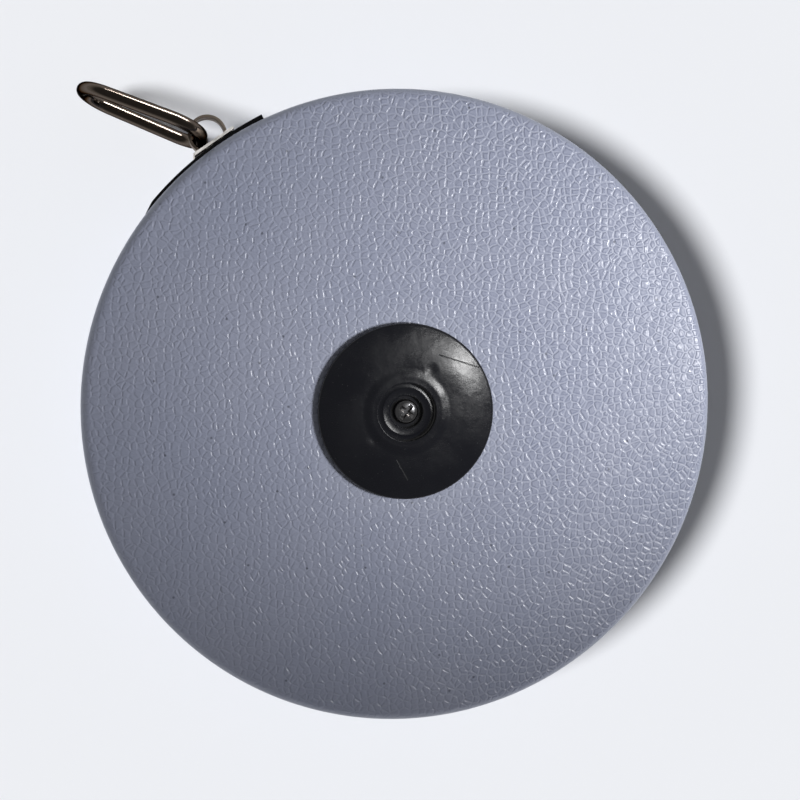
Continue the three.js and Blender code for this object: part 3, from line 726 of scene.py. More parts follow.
def plated(name, tone, roughness, edge, eye_shade_tone=None):
    """Plating with fine rubbing and darker spots. The outer tone paints shade on the clip's eye, darker than
    the rest of the same sheet.
    """
    n = Nodes(name)
    where = n.where()
    plain = opaque(tone)
    # Painted shade: the clip's eye is darker than its plate.
    if eye_shade_tone is not None:
        outward = (math.cos(CLIP_ANGLE), math.sin(CLIP_ANGLE), 0)
        outside = n.ramp(n.dot(where, outward), mm(*(PLATE_OUTER + fade for fade in EYE_SHADE_FADE)))
        plain = n.mix(outside, plain, opaque(eye_shade_tone))
    spot = n.ramp(n.noise(where, SPOT_SCALE, MIDDLE_DETAIL, ROUGH_SHARE), SPOT_SPAN)
    rubbed = [roughness * share for share in RUBBED_SHARES]
    n.surface("Base Color", n.mix(n.times(spot, SPOT_SHARE), plain, opaque(tone, SPOT_DARKNESS)))
    n.surface("Roughness", n.ramp(n.noise(where, RUBBED_SCALE, FINE_DETAIL), RUBBED_SPAN, rubbed))
    n.surface("Metallic", 1.0)
    n.surface("Specular Tint", opaque(EDGE_WARMTH, edge))
    n.surface("Normal", n.bump(n.noise(where, DRAWN_SCALE), DRAWN_HEIGHT, strength=DRAWN_SHARE))
    return n.material


# Plain plastic and tape

PLAIN_SCALE = 90.0
PLAIN_SPAN = (0.35, 0.65)
PLAIN_DARKNESS = 0.8
MATT_SCALE = 700.0
MATT_SPAN = (0.3, 0.7)
MATT_SHARES = (0.85, 1.2)
FINE_SCALE = 1400.0
FINE_HEIGHT = 0.02
FINE_SHARE = 0.5
REEL_TONE = (0.04, 0.042, 0.045)
REEL_ROUGHNESS = 0.5
ROLL_TONE = (0.75, 0.50, 0.05)
ROLL_ROUGHNESS = 0.45
TAPE_TONES = ((0.80, 0.55, 0.05, 1), (0.70, 0.47, 0.04, 1))
INK_TONE = (0.01, 0.01, 0.01, 1)
TAPE_ROUGHNESS = (0.32, 0.45)
WEAVE_SCALE = 900.0


def plain_plastic(name, tone, roughness):
    n = Nodes(name)
    where = n.where()
    cloud = n.ramp(n.noise(where, PLAIN_SCALE, MIDDLE_DETAIL), PLAIN_SPAN)
    matt = [roughness * share for share in MATT_SHARES]
    n.surface("Base Color", n.mix(cloud, opaque(tone), opaque(tone, PLAIN_DARKNESS)))
    n.surface("Roughness", n.ramp(n.noise(where, MATT_SCALE), MATT_SPAN, matt))
    n.surface("Normal", n.bump(n.noise(where, FINE_SCALE), FINE_HEIGHT, strength=FINE_SHARE))
    return n.material


def tape_marks(n, where):
    """Graduations along both edges of the tape, counted from the clip."""
    run = n.add("ShaderNodeMapping", {"Vector": where, "Rotation": (0, 0, -RUN_ANGLE)})
    split = n.add("ShaderNodeSeparateXYZ", {"Vector": run.outputs[0]})
    along = n.math("ADD", split.outputs[0], LEAD_LENGTH * MM)
    height = n.math("ABSOLUTE", n.math("SUBTRACT", split.outputs[2], SEAM_Z * MM))
    marks = 0.0
    for spacing, width, reach in TAPE_MARKS:
        share = n.math("FRACT", n.math("DIVIDE", along, spacing * MM))
        line = n.math("LESS_THAN", share, width / spacing)
        at_edge = n.math("GREATER_THAN", height, (TAPE_WIDTH / 2 - reach) * MM)
        marks = n.math("MAXIMUM", marks, n.times(line, at_edge))
    return marks


def printed_tape(name):
    """Yellow coated tape with black graduations on both faces."""
    n = Nodes(name)
    where = n.where()
    base = n.mix(n.noise(where, PLAIN_SCALE, MIDDLE_DETAIL), *TAPE_TONES)
    n.surface("Base Color", n.mix(tape_marks(n, where), base, INK_TONE))
    n.surface("Roughness", n.ramp(n.noise(where, MATT_SCALE), MATT_SPAN, TAPE_ROUGHNESS))
    n.surface("Normal", n.bump(n.noise(where, WEAVE_SCALE, MIDDLE_DETAIL), FINE_HEIGHT, strength=FINE_SHARE))
    return n.material


# Case

def skin(hole_radius, inset, smooth):
    bend = max(EDGE_RADIUS - inset, 0)
    bend_radius = CASE_RADIUS - inset - bend
    bend_height = HALF_DEPTH - DOME_DROP - inset - bend
    flat = np.linspace(hole_radius, FLAT_RADIUS, FLAT_ROWS)[:-1]
    points = [(radius, HALF_DEPTH - inset) for radius in flat]
    for share in np.linspace(0, 1, DOME_ROWS):
        radius = FLAT_RADIUS + (bend_radius - FLAT_RADIUS) * share
        points.append((radius, HALF_DEPTH - inset - DOME_DROP * share ** 2))
    lean = math.atan(2 * DOME_DROP / (bend_radius - FLAT_RADIUS)) if smooth else 0
    for angle in np.linspace(QUARTER - lean, 0, EDGE_ROWS + 1)[(0 if smooth else 1):]:
        points.append((bend_radius + bend * math.cos(angle), bend_height + bend * math.sin(angle)))
    return points


def shell_angles():
    angles = columns(SHELL_COLUMNS)
    gap = SEAT_GAP / CASE_RADIUS
    edges = (MOUTH_START - gap, MOUTH_END + gap)
    found = [int(np.argmin(abs(angles - edge))) for edge in edges]
    for column, edge in zip(found, edges):
        angles[column] = edge
    return angles, found


def swelled(points):
    """A moulding is never quite even: slow waves over the faces."""
    x, y = points[..., 0], points[..., 1]
    radius = np.hypot(x, y)
    wave = np.sin(x * SWELL_ALONG[0] + SWELL_ALONG[1]) * np.cos(y * SWELL_UP[0] + SWELL_UP[1])
    wave += SLANT_SHARE * np.sin(x * SWELL_SLANT[0] + y * SWELL_SLANT[1])
    inside = np.clip((CASE_RADIUS - EDGE_RADIUS - radius) / (2 * EDGE_RADIUS), 0, 1)
    points[..., 2] += SWELL * wave * inside
    return points


def shell(name, side, hole_radius, seam):
    outside = skin(hole_radius, 0, True)
    inside = skin(hole_radius, SHELL_WALL, False)[::-1]
    window_top = MOUTH_HALF + SEAT_GAP
    loop = outside + [(CASE_RADIUS, window_top)] + seam + [(INNER_RADIUS, window_top)] + inside
    first_row = len(outside)
    last_row = first_row + len(seam) + 1
    angles, edges = shell_angles()
    profile = [(radius, side * height) for radius, height in loop]
    made = turned(name, profile, angles, (first_row, last_row, *edges), swelled)
    return move(made, place(z=SEAM_Z))


def seam_edge():
    return [
        (CASE_RADIUS, SEAT_GAP / 2 + SEAM_BREAK),
        (CASE_RADIUS - SEAM_BREAK / 3, SEAT_GAP / 2 + SEAM_BREAK / 3),
        (CASE_RADIUS - SEAM_BREAK, SEAT_GAP / 2),
    ]


def back_shell():
    foot = LIP_HEIGHT + SEAT_GAP
    rabbet = LIP_OUTER + SEAT_GAP
    seam = seam_edge() + [(rabbet, SEAT_GAP / 2), (rabbet, foot), (INNER_RADIUS, foot)]
    return shell("grained_back_shell", 1, BACK_HOLE_RADIUS, seam)


def at_screws(make):
    for angle in SCREW_ANGLES:
        yield move(make(), rotation(angle, "Z") @ place(SCREW_CIRCLE, 0, SEAM_Z))


def front_shell():
    seam = seam_edge() + [(LIP_OUTER, SEAT_GAP / 2), (LIP_OUTER, -LIP_HEIGHT), (INNER_RADIUS, -LIP_HEIGHT)]
    made = shell("grained_front_shell", -1, FRONT_HOLE_RADIUS, seam)
    face = -HALF_DEPTH + DOME_DROP + SHELL_WALL / 2
    combine(made, list(at_screws(lambda: rod(BOSS_RADIUS, face, LIP_HEIGHT))), "UNION")
    low = -HALF_DEPTH - OVERRUN
    wide = list(at_screws(lambda: rod(SCREW_HEAD_RADIUS + SEAT_GAP, low, SCREW_SEAT)))
    narrow = list(at_screws(lambda: rod(SCREW_RADIUS + SEAT_GAP, low, LIP_HEIGHT + OVERRUN)))
    return combine(made, wide + narrow, "DIFFERENCE")


# Cap and screws

def cap_profile():
    crown = CAP_SEAT_Z + CAP_RISE
    top = crown + CAP_LIP_RISE
    lip_outer = CAP_RECESS_RADIUS + CAP_LIP_WIDTH
    dome_foot = lip_outer + CAP_LIP_SLOPE
    edge = CAP_SEAT_Z + CAP_EDGE
    rim = CAP_RADIUS - CAP_CHAMFER
    rise = crown - edge - CAP_CHAMFER
    bore = HUB_SCREW_RADIUS + SEAT_GAP
    floor = top - CAP_RECESS_DEPTH
    points = [(bore, CAP_SEAT_Z - CAP_BOSS_DEPTH), (CAP_BOSS_RADIUS, CAP_SEAT_Z - CAP_BOSS_DEPTH)]
    points += [(CAP_BOSS_RADIUS, CAP_SEAT_Z), (CAP_RADIUS, CAP_SEAT_Z)]
    for angle in np.linspace(0, QUARTER * CAP_TURN_SHARE, CAP_TURN_STEPS):
        points.append((rim + CAP_CHAMFER * math.cos(angle), edge + CAP_CHAMFER * math.sin(angle)))
    for radius in np.linspace(rim, lip_outer, CAP_ROWS)[1:-1]:
        fall = max(0, (radius - dome_foot) / (rim - dome_foot))
        near = min(max(0, (lip_outer + CAP_FLAT + CAP_BLEND - radius) / CAP_BLEND), 1)
        points.append((radius, crown - rise * fall ** 2 + CAP_LIP_RISE * near * near * (3 - 2 * near)))
    soft = CAP_LIP_WIDTH / 4
    lip_centre = (CAP_RECESS_RADIUS + soft, top - soft)
    points += arc(soft, QUARTER * CAP_TURN_SHARE, 2 * QUARTER, CAP_TURN_STEPS, lip_centre)
    points += [(CAP_RECESS_RADIUS, floor + soft), (CAP_RECESS_RADIUS - soft, floor)]
    step = (CAP_RECESS_RADIUS + CAP_BORE_RADIUS) / 2 + soft
    points += [(step + soft, floor), (step, floor + soft / 2), (step - soft, floor)]
    points += [(CAP_BORE_RADIUS + soft, floor), (CAP_BORE_RADIUS, floor - soft)]
    points += [(CAP_BORE_RADIUS, floor - CAP_BORE_DEPTH), (bore, floor - CAP_BORE_DEPTH)]
    return points


def back_cap():
    return turned("domed_cap", cap_profile(), columns(CAP_COLUMNS))


def cross_cutter(reach, width, top, floor):
    """Cross recess that narrows downwards."""
    half = width / 2
    outline = []
    for quarter in range(4):
        turn = quarter * QUARTER
        for x, y in ((reach, -half), (reach, half), (half, half)):
            across = x * math.cos(turn) - y * math.sin(turn)
            outline.append((across, x * math.sin(turn) + y * math.cos(turn)))
    made = prism("cross", outline, floor, top)
    for vertex in made.data.vertices:
        share = CROSS_TOP_SHARE if vertex.co.z > (floor + top) / 2 * MM else CROSS_FOOT_SHARE
        vertex.co.x *= share
        vertex.co.y *= share
    return made


def pan_screw(name, head_radius, head_height, shank_radius, length):
    dome = []
    for share in np.linspace(HEAD_START_SHARE, 1, HEAD_STEPS):
        lean = QUARTER * share
        rise = HEAD_SIDE_SHARE + (1 - HEAD_SIDE_SHARE) * math.sin(lean)
        dome.append((head_radius * math.cos(lean) ** HEAD_ROUNDNESS, head_height * rise))
    profile = [(0, -length), (shank_radius / 2, -length), (shank_radius, shank_radius - length)]
    profile += [(shank_radius, 0), (head_radius * HEAD_FOOT_SHARE, 0)]
    profile += [(head_radius, head_height * HEAD_EDGE_SHARE)]
    profile += dome[:-1] + [(0, head_height)]
    made = turned(name, profile, columns(ROD_COLUMNS))
    cutter = cross_cutter(head_radius * CROSS_REACH_SHARE, head_radius * CROSS_WIDTH_SHARE,
                          head_height + OVERRUN, head_height * CROSS_FLOOR_SHARE)
    combine(made, [cutter], "DIFFERENCE")
    return bevel(made, head_radius * HEAD_SOFT_SHARE, FEW_SEGMENTS, FINE_ANGLE)


# Hub disc and crank

def crank_disc():
    profile = [(0, 0), (DISC_RADIUS, 0), (DISC_RADIUS, DISC_THICKNESS)]
    profile += [(FRONT_JOURNAL_RADIUS, DISC_THICKNESS), (FRONT_JOURNAL_RADIUS, JOURNAL_TOP)]
    profile += [(SPIGOT_RADIUS, JOURNAL_TOP)]
    profile += [(SPIGOT_RADIUS, JOURNAL_TOP + SPIGOT_LENGTH), (0, JOURNAL_TOP + SPIGOT_LENGTH)]
    made = turned("crank_hub_disc", profile, columns(DISC_COLUMNS))
    cup = slot_bar(KNOB_X, WELL_END_X, WELL_RADIUS + WELL_WALL, JOURNAL_TOP, WELL_DEPTH + WELL_WALL)
    stem = move(rod(STEM_RADIUS, JOURNAL_TOP, STEM_TOP, STEM_SIDES), rotation(QUARTER, "Z"))
    combine(made, [cup, stem], "UNION")
    channel = block((-DISC_RADIUS - OVERRUN, -CHANNEL_HALF, -OVERRUN), (KNOB_X, CHANNEL_HALF, CHANNEL_DEPTH))
    channel_end = move(rod(CHANNEL_HALF, -OVERRUN, CHANNEL_DEPTH), place(KNOB_X))
    well = slot_bar(KNOB_X, WELL_END_X, WELL_RADIUS, -OVERRUN, WELL_DEPTH)
    pin_hole = rod(PIN_RADIUS + SEAT_GAP, -DISC_RADIUS, DISC_RADIUS)
    move(pin_hole, crank_matrix() @ rotation(QUARTER, "X"))
    floor_z = HUB_SEAT - HUB_SCREW_LENGTH - SCREW_TIP_GAP
    screw_hole = rod(HUB_SCREW_RADIUS + SEAT_GAP, floor_z, STEM_TOP + OVERRUN)
    combine(made, [channel, channel_end, well, pin_hole, screw_hole], "DIFFERENCE")
    return bevel(made, SOFT_EDGE, angle=HUB_ANGLE)


def crank_matrix():
    return place(-PIN_OFFSET, 0, DISC_THICKNESS / 2)


def crank_arm():
    half = DISC_THICKNESS / 2
    outline = [(0, -ARM_WIDTH / 2)] + arc(ARM_WIDTH / 2, -QUARTER, QUARTER, ARM_STEPS, (ARM_LENGTH, 0))
    outline += [(0, ARM_WIDTH / 2)]
    made = prism("folding_crank_arm", outline, -half, half)
    eye = move(rod(half, -ARM_WIDTH / 2, ARM_WIDTH / 2), rotation(QUARTER, "X"))
    combine(made, [eye], "UNION")
    pin_hole = move(rod(PIN_RADIUS + SEAT_GAP, -ARM_WIDTH, ARM_WIDTH), rotation(QUARTER, "X"))
    head_top = RIVET_FOOT + RIVET_HEAD_HEIGHT + SEAT_GAP
    head_hole = move(rod(RIVET_HEAD_RADIUS + SEAT_GAP, -half - OVERRUN, head_top), place(ARM_LENGTH))
    rivet_hole = move(rod(RIVET_RADIUS + SEAT_GAP, -half - OVERRUN, half + OVERRUN), place(ARM_LENGTH))
    combine(made, [pin_hole, head_hole, rivet_hole], "DIFFERENCE")
    return move(bevel(made, SOFT_EDGE, angle=HUB_ANGLE), crank_matrix())


def crank_pin():
    half = ARM_WIDTH / 2 + SEAT_GAP + PIN_BITE
    made = rod(PIN_RADIUS, -half, half)
    made.name = "crank_hinge_pin"
    return move(bevel(made, SOFT_EDGE / 2), crank_matrix() @ rotation(QUARTER, "X"))


def crank_knob():
    bore = RIVET_RADIUS + SEAT_GAP
    head_bore = RIVET_HEAD_RADIUS + SEAT_GAP
    soft = KNOB_RADIUS - KNOB_CHAMFER
    seat = KNOB_TOP - KNOB_BORE_DEPTH
    profile = [(bore, KNOB_FOOT)]
    profile += arc(KNOB_CHAMFER, -QUARTER, 0, KNOB_STEPS, (soft, KNOB_FOOT + KNOB_CHAMFER))
    profile += arc(KNOB_CHAMFER, 0, QUARTER, KNOB_STEPS, (soft, KNOB_TOP - KNOB_CHAMFER))
    profile += [(head_bore, KNOB_TOP), (head_bore, seat), (bore, seat)]
    made = turned("round_crank_knob", profile, columns(KNOB_COLUMNS))
    return move(made, crank_matrix() @ place(ARM_LENGTH))


def knob_rivet():
    foot = KNOB_TOP - KNOB_BORE_DEPTH + SEAT_GAP
    head_top = RIVET_FOOT + RIVET_HEAD_HEIGHT
    profile = [(0, RIVET_FOOT), (RIVET_HEAD_RADIUS, RIVET_FOOT), (RIVET_HEAD_RADIUS, head_top)]
    profile += [(RIVET_RADIUS, head_top), (RIVET_RADIUS, foot)]
    for lean in np.linspace(0, QUARTER, RIVET_STEPS):
        profile.append((RIVET_HEAD_RADIUS * math.cos(lean), foot + RIVET_HEAD_HEIGHT * math.sin(lean)))
    profile[-1] = (0, foot + RIVET_HEAD_HEIGHT)
    made = turned("domed_knob_rivet", profile, columns(ROD_COLUMNS))
    return move(bevel(made, SOFT_EDGE / 3), crank_matrix() @ place(ARM_LENGTH))


# Mouth, clip and ring

def along_run():
    return place(z=SEAM_Z) @ rotation(RUN_ANGLE, "Z")


def out_of_mouth():
    return place(z=SEAM_Z) @ rotation(CLIP_ANGLE - QUARTER, "Z")


def sector(inner, outer, start, end, low, high):
    outline = arc(outer, start, end, MOUTH_STEPS) + arc(inner, end, start, MOUTH_STEPS)
    return prism("sector", outline, low, high)


def mouth_frame():
    rear_radius = INNER_RADIUS - MOUTH_DEPTH
    face = []
    for share in np.linspace(0, 1, MOUTH_STEPS + 1):
        angle = MOUTH_START + (MOUTH_END - MOUTH_START) * share
        proud = max(MOUTH_PROUD * (1 - share), MOUTH_TAIL) * min(1, (1 - share) / MOUTH_TURN_SHARE)
        radius = CASE_RADIUS + proud
        face.append((radius * math.cos(angle), radius * math.sin(angle)))
    face += arc(rear_radius, MOUTH_END, MOUTH_START, MOUTH_STEPS)
    made = prism("mouth_bezel", face, -MOUTH_HALF, MOUTH_HALF)
    end = MOUTH_REAR_END / CASE_RADIUS
    rear = sector(rear_radius, INNER_RADIUS - SEAT_GAP, MOUTH_START - end, MOUTH_END + end,
                  -MOUTH_REAR_HALF, MOUTH_REAR_HALF)
    combine(made, [rear], "UNION")
    low = TAPE_OFFSET - SLOT_THICKNESS / 2
    slot = block((-CASE_RADIUS, low, -SLOT_HALF), (0, low + SLOT_THICKNESS, SLOT_HALF))
    move(slot, rotation(RUN_ANGLE, "Z"))
    combine(made, [slot], "DIFFERENCE")
    bevel(made, MOUTH_SOFT)
    return move(made, place(z=SEAM_Z))


def end_clip():
    half = CLIP_WIDTH / 2
    plate = block((-half, PLATE_INNER, -CLIP_HEIGHT / 2), (half, PLATE_OUTER, CLIP_HEIGHT / 2))
    plate.name = "sheet_clip"
    dip = math.asin(EYE_RISE / (EYE_RADIUS - CLIP_SHEET / 2))
    centre = (0, EYE_CENTRE)
    outline = arc(EYE_RADIUS, -dip, math.pi + dip, EYE_STEPS, centre)
    outline += arc(EYE_RADIUS - CLIP_SHEET, math.pi + dip, -dip, EYE_STEPS, centre)
    eye = prism("eye", outline, -EYE_LENGTH / 2, EYE_LENGTH / 2)
    move(plate, out_of_mouth())
    move(eye, out_of_mouth())
    leaves = []
    for offset in (-LEAF_OFFSET, LEAF_OFFSET):
        low = TAPE_OFFSET + offset - CLIP_SHEET / 2
        leaf = block((-LEAD_LENGTH - CLIP_WIDTH / 2, low, -TAPE_WIDTH / 2),
                     (-LEAD_LENGTH + CLIP_TONGUE, low + CLIP_SHEET, TAPE_WIDTH / 2))
        leaves.append(move(leaf, along_run()))
    middle = (PLATE_INNER + PLATE_OUTER) / 2
    beyond = block((-CLIP_WIDTH, middle, -CLIP_HEIGHT), (CLIP_WIDTH, 2 * PLATE_OUTER, CLIP_HEIGHT))
    move(beyond, out_of_mouth())
    tongue = combine(leaves[0], [leaves[1]], "UNION")
    combine(tongue, [beyond], "DIFFERENCE")
    combine(tongue, rivet_holes(), "DIFFERENCE")
    combine(plate, [eye, tongue], "UNION")
    return bevel(plate, CLIP_SOFT, FEW_SEGMENTS, FINE_ANGLE)


def across_tape(made, side):
    where = place(-LEAD_LENGTH + CLIP_RIVET_INSET, TAPE_OFFSET, side * CLIP_RIVET_OFFSET)
    return move(made, along_run() @ where @ rotation(-QUARTER, "X"))


def rivet_holes():
    radius = CLIP_RIVET_RADIUS + SEAT_GAP
    return [across_tape(rod(radius, -SLOT_THICKNESS, SLOT_THICKNESS), side) for side in (1, -1)]


def tape_lead():
    low = TAPE_OFFSET - TAPE_THICKNESS / 2
    strip = block((-LEAD_LENGTH, low, -TAPE_WIDTH / 2), (0, low + TAPE_THICKNESS, TAPE_WIDTH / 2))
    strip.name = "printed_tape_lead"
    move(strip, along_run())
    combine(strip, rivet_holes(), "DIFFERENCE")
    return bevel(strip, TAPE_THICKNESS / 5, FEW_SEGMENTS)


def clip_rivet(side):
    foot = LEAF_OFFSET + CLIP_SHEET / 2 + SEAT_GAP
    dome = [(CLIP_RIVET_HEAD_RADIUS * math.cos(lean), foot + CLIP_RIVET_HEAD * math.sin(lean))
            for lean in np.linspace(0, QUARTER, CLIP_RIVET_STEPS)]
    dome[-1] = (0, foot + CLIP_RIVET_HEAD)
    half = dome[::-1] + [(CLIP_RIVET_RADIUS, foot)]
    loop = half + [(radius, -height) for radius, height in half[::-1]]
    made = turned(f"clip_rivet_{1 if side > 0 else 2}", loop, columns(RIVET_COLUMNS))
    return across_tape(made, side)


def ring_matrix():
    held = rotation(CLIP_ANGLE, "Z") @ place(PLATE_OUTER + RING_REACH, RING_ASIDE, SEAM_Z - RING_DROP)
    turn = rotation(RING_ANGLE - CLIP_ANGLE, "Z")
    return held @ turn @ rotation(RING_ROLL, "X") @ rotation(RING_DROOP, "Y")


def ring_path():
    """Middle line of the ring's wire in its own XZ plane."""
    corner_y = RING_HALF - RING_CORNER
    across = RING_END_X - RING_CORNER
    apart = math.hypot(across, corner_y)
    turn = math.acos((RING_CORNER - RING_END_BEND) / apart) - math.atan2(corner_y, across)
    corner = arc(RING_CORNER, math.pi, turn, RING_CORNER_STEPS, (RING_CORNER, corner_y))
    bar_end = (RING_END_X + RING_END_BEND * math.cos(turn), RING_END_BEND * math.sin(turn))
    bar = np.linspace(corner[-1], bar_end, RING_BAR_STEPS)[1:-1].tolist()
    held = np.linspace((0, 0), corner[0], RING_HELD_STEPS)[:-1].tolist()
    half = held + corner + bar
    end = arc(RING_END_BEND, turn, -turn, RING_END_STEPS, (RING_END_X, 0))
    return np.array(half + end + [(x, -y) for x, y in half[:0:-1]])


def pull_ring():
    path = ring_path()
    count = len(path)
    ahead = np.roll(path, -1, 0) - np.roll(path, 1, 0)
    ahead /= np.linalg.norm(ahead, axis=1)[:, None]
    across = np.stack([ahead[:, 1], -ahead[:, 0]], 1)
    turn = columns(WIRE_SIDES)
    points = np.zeros((count, WIRE_SIDES, 3))
    points[..., 0] = path[:, None, 0] + WIRE_RADIUS * across[:, None, 0] * np.cos(turn)
    points[..., 2] = path[:, None, 1] + WIRE_RADIUS * across[:, None, 1] * np.cos(turn)
    points[..., 1] = WIRE_RADIUS * np.sin(turn)
    faces = []
    for i in range(count):
        for j in range(WIRE_SIDES):
            a, b = i * WIRE_SIDES, (i + 1) % count * WIRE_SIDES
            faces.append([a + j, a + (j + 1) % WIRE_SIDES, b + (j + 1) % WIRE_SIDES, b + j])
    made = make_object("wire_ring", points.reshape(-1, 3), faces)
    return move(made, ring_matrix())


# Build

case_leather = leather("leather_grain_plastic")
cap_black = satin_black("satin_black_plastic", dents=CAP_DENTS, scratches=CAP_SCRATCHES)
handled_black = satin_black("handled_black_plastic")
bezel_black = satin_black("bezel_black_plastic", BEZEL_ROUGHNESS)
dark_nickel = plated("dark_nickel", NICKEL_TONE, NICKEL_ROUGHNESS, NICKEL_EDGE)
clip_nickel = plated("clip_nickel", CLIP_TONE, CLIP_ROUGHNESS, CLIP_EDGE, EYE_SHADE_TONE)
zinc = plated("zinc_steel", ZINC_TONE, ZINC_ROUGHNESS, ZINC_EDGE)
reel_grey = plain_plastic("reel_grey_plastic", REEL_TONE, REEL_ROUGHNESS)
tape_yellow = plain_plastic("tape_yellow", ROLL_TONE, ROLL_ROUGHNESS)

shells = [
    finish(back_shell(), case_leather, "case", "case_plastic", "back_shell"),
    finish(front_shell(), case_leather, "case", "case_plastic", "front_shell"),
]
finish(mouth_frame(), bezel_black, "case", "black_plastic", "mouth_frame")
cap = finish(back_cap(), cap_black, "reel", "black_plastic", "back_cap")

hub_screw = pan_screw("hub_cross_screw", HUB_HEAD_RADIUS, HUB_HEAD_HEIGHT,
                      HUB_SCREW_RADIUS, HUB_SCREW_LENGTH)
move(hub_screw, place(z=HUB_SEAT) @ rotation(HUB_SCREW_TURN, "Z"))
finish(hub_screw, zinc, "reel", "steel", "hub_screw")

for index, screw_angle in enumerate(SCREW_ANGLES):
    screw = pan_screw(f"cross_screw_{index + 1}", SCREW_HEAD_RADIUS, SCREW_HEAD_HEIGHT,
                      SCREW_RADIUS, SCREW_LENGTH)
    spot_at = place(SCREW_CIRCLE * math.cos(screw_angle), SCREW_CIRCLE * math.sin(screw_angle),
                    SEAM_Z + SCREW_SEAT - SEAT_GAP)
    move(screw, spot_at @ rotation(math.pi, "X"))
    finish(screw, zinc, "case", "steel", f"case_screw_{index + 1}")

clip = finish(end_clip(), clip_nickel, "tape_end", "nickel", "end_clip")
ring = finish(pull_ring(), dark_nickel, "ring", "nickel", "pull_ring")

finish(crank_disc(), bezel_black, "reel", "black_plastic", "crank_disc")
finish(crank_pin(), zinc, "reel", "steel", "crank_pin")
finish(crank_arm(), handled_black, "crank", "black_plastic", "crank_arm")
finish(knob_rivet(), zinc, "crank", "steel", "knob_rivet")
finish(crank_knob(), handled_black, "knob", "black_plastic", "crank_knob")
finish(tape_lead(), printed_tape("printed_tape"), "tape_end", "tape", "tape_lead")
for index, rivet_side in enumerate((1, -1)):
    finish(clip_rivet(rivet_side), zinc, "tape_end", "steel", f"end_rivet_{index + 1}")

kept = {
    "back_bearing_ring": reel_grey,
    "front_bearing_ring": reel_grey,
    "reel_core": reel_grey,
    "reel_plate": reel_grey,
    "tape_pack": tape_yellow,
    "tape_anchor": zinc,
}
for node_name, material in kept.items():
    for material_slot in nodes[node_name].material_slots:
        material_slot.material = material
    rounding = nodes[node_name].modifiers.new("rounding", "BEVEL")
    rounding.width = SOFT_EDGE / 2 * MM
    rounding.segments = FEW_SEGMENTS
    rounding.limit_method = "ANGLE"


# Camera, floor and light

CAMERA_TARGET = Vector((0, 0, 20.0))
CAMERA_DISTANCE = 350.0
CAMERA_TILT = math.radians(9.0)
CAMERA_AZIMUTH = math.radians(147)
CAMERA_LENS = 67.9
SENSOR = 36.0
SHIFT = (0.0015, 0.0086)
FLOOR_HALF = 1500.0
FLOOR_DROP = 0.05
FLOOR_TONE = (0.80, 0.815, 0.85, 1)
FLOOR_ROUGHNESS = 0.9
HORIZON_TONE = (0.60, 0.59, 0.57, 1)
ZENITH_TONE = (0.10, 0.099, 0.098, 1)
CLIMB_SPAN = (0.10, 0.55)
KEY_PLACE = (190, -18, 275)
KEY_AIM = (18, 50, 30)
KEY_POWER = 3.92
KEY_SIZE = 40
KEY_CONE = math.radians(52.4)
GLINT_PLACE = (150, 66, 319)
GLINT_AIM = (0, 0, 33)
GLINT_POWER = 0.42
STRIP_PLACE = (60, 320, 160)
STRIP_AIM = (-60, 66, 17)
STRIP_POWER = 2.6
STRIP_WIDTH = 55
STRIP_LENGTH = 300
GRAIN_PLACE = (420, 60, 420)
GRAIN_AIM = (0, 0, 30)
GRAIN_POWER = 3.0
ROUND_SIZE = 80
SUN_PLACE = (-224, -8, 332)
SUN_POWER = 3.45
SUN_ANGLE = math.radians(14)


def add_camera():
    data = bpy.data.cameras.new("camera")
    data.lens = CAMERA_LENS
    data.sensor_width = SENSOR
    data.shift_x, data.shift_y = SHIFT
    data.clip_start = CAMERA_DISTANCE / 10 * MM
    camera = bpy.data.objects.new("camera", data)
    bpy.context.collection.objects.link(camera)
    level = math.sin(CAMERA_TILT)
    back = Vector((level * math.cos(CAMERA_AZIMUTH), level * math.sin(CAMERA_AZIMUTH),
                   math.cos(CAMERA_TILT)))
    right = Vector((0, 1, 0)).cross(back).normalized()
    up = back.cross(right)
    turn = Matrix((right, up, back)).transposed().to_4x4()
    camera.matrix_world = Matrix.Translation((CAMERA_TARGET + back * CAMERA_DISTANCE) * MM) @ turn
    bpy.context.scene.camera = camera


def add_floor():
    h = FLOOR_HALF
    z = -FLOOR_DROP
    floor = make_object("floor", [(-h, -h, z), (h, -h, z), (h, h, z), (-h, h, z)], [[0, 1, 2, 3]])
    n = Nodes("pale_floor")
    n.surface("Base Color", FLOOR_TONE)
    n.surface("Roughness", FLOOR_ROUGHNESS)
    n.surface("Specular IOR Level", 0.0)
    floor.data.materials.append(n.material)
    return floor


def add_lamp(name, kind, position, aim, energy, size, cone=QUARTER, long=None):
    data = bpy.data.lights.new(name, kind)
    data.energy = energy
    if kind == "AREA":
        data.shape = "RECTANGLE" if long else "DISK"
        data.size = (long or size) * MM
        data.size_y = size * MM
    elif kind == "SUN":
        data.angle = size
    else:
        data.shadow_soft_size = size * MM
        data.spot_size = cone
        data.spot_blend = 1.0
    lamp = bpy.data.objects.new(name, data)
    bpy.context.collection.objects.link(lamp)
    start = Vector(position)
    lamp.location = start * MM
    lamp.rotation_mode = "QUATERNION"
    lamp.rotation_quaternion = (Vector(aim) - start).to_track_quat("-Z", "Y")
    return lamp


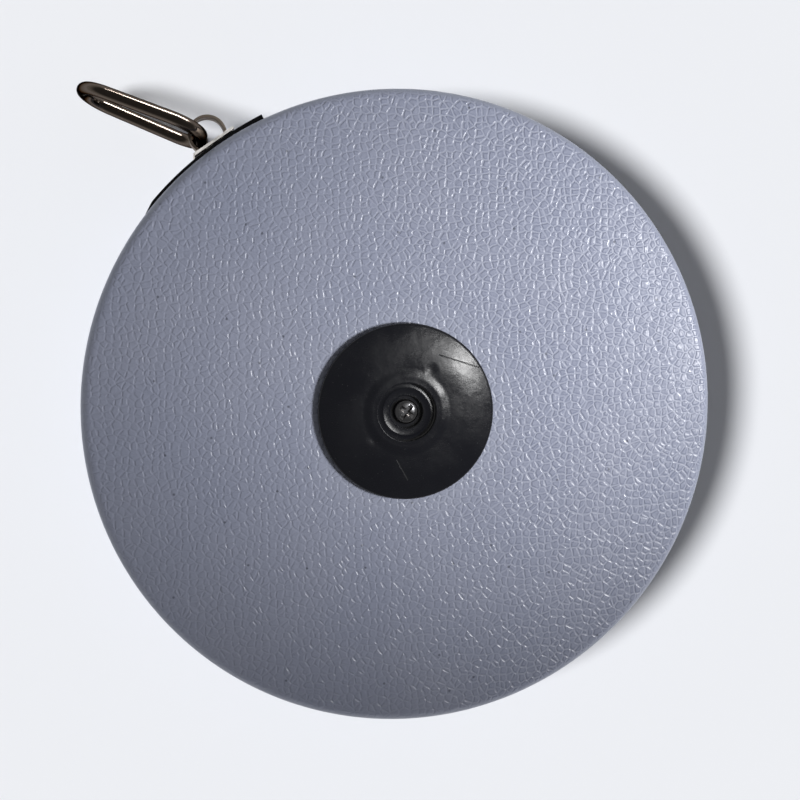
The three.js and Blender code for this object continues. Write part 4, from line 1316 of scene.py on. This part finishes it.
def add_world():
    """Pale round the horizon and dimmer overhead."""
    world = bpy.data.worlds.new("soft_room")
    world.use_nodes = True
    bpy.context.scene.world = world
    tree = world.node_tree
    where = tree.nodes.new("ShaderNodeTexCoord")
    split = tree.nodes.new("ShaderNodeSeparateXYZ")
    climb = tree.nodes.new("ShaderNodeMapRange")
    climb.interpolation_type = "SMOOTHSTEP"
    climb.inputs["From Min"].default_value = CLIMB_SPAN[0]
    climb.inputs["From Max"].default_value = CLIMB_SPAN[1]
    blend = tree.nodes.new("ShaderNodeMix")
    blend.data_type = "RGBA"
    blend.inputs[MIX_INPUTS[1]].default_value = HORIZON_TONE
    blend.inputs[MIX_INPUTS[2]].default_value = ZENITH_TONE
    tree.links.new(where.outputs["Generated"], split.inputs[0])
    tree.links.new(split.outputs[2], climb.inputs["Value"])
    tree.links.new(climb.outputs[0], blend.inputs[MIX_INPUTS[0]])
    tree.links.new(blend.outputs[MIX_OUTPUT], tree.nodes["Background"].inputs[0])


def link_light(lamp, name, members, state="INCLUDE"):
    """The lamp lights only these objects, or all but these."""
    group = bpy.data.collections.new(name)
    for member in members:
        group.objects.link(member)
    lamp.light_linking.receiver_collection = group
    for item in group.collection_objects:
        item.light_linking.link_state = state


add_camera()
floor = add_floor()
key = add_lamp("key", "SPOT", KEY_PLACE, KEY_AIM, KEY_POWER, KEY_SIZE, cone=KEY_CONE)
key.visible_glossy = False
link_light(key, "unlit_by_key", [floor], "EXCLUDE")
glint = add_lamp("glint", "AREA", GLINT_PLACE, GLINT_AIM, GLINT_POWER, ROUND_SIZE)
glint.visible_diffuse = False
link_light(glint, "glint_on", [cap, hub_screw, clip])
strip = add_lamp("strip", "AREA", STRIP_PLACE, STRIP_AIM, STRIP_POWER, STRIP_WIDTH, long=STRIP_LENGTH)
strip.visible_diffuse = False
link_light(strip, "strip_on", [clip, ring])
grain_light = add_lamp("grain_light", "AREA", GRAIN_PLACE, GRAIN_AIM, GRAIN_POWER, ROUND_SIZE)
grain_light.visible_diffuse = False
link_light(grain_light, "grain_only", shells)
sun = add_lamp("floor_sun", "SUN", SUN_PLACE, (0, 0, 0), SUN_POWER, SUN_ANGLE)
link_light(sun, "floor_only", [floor])
add_world()
bpy.context.scene.view_settings.view_transform = "Standard"
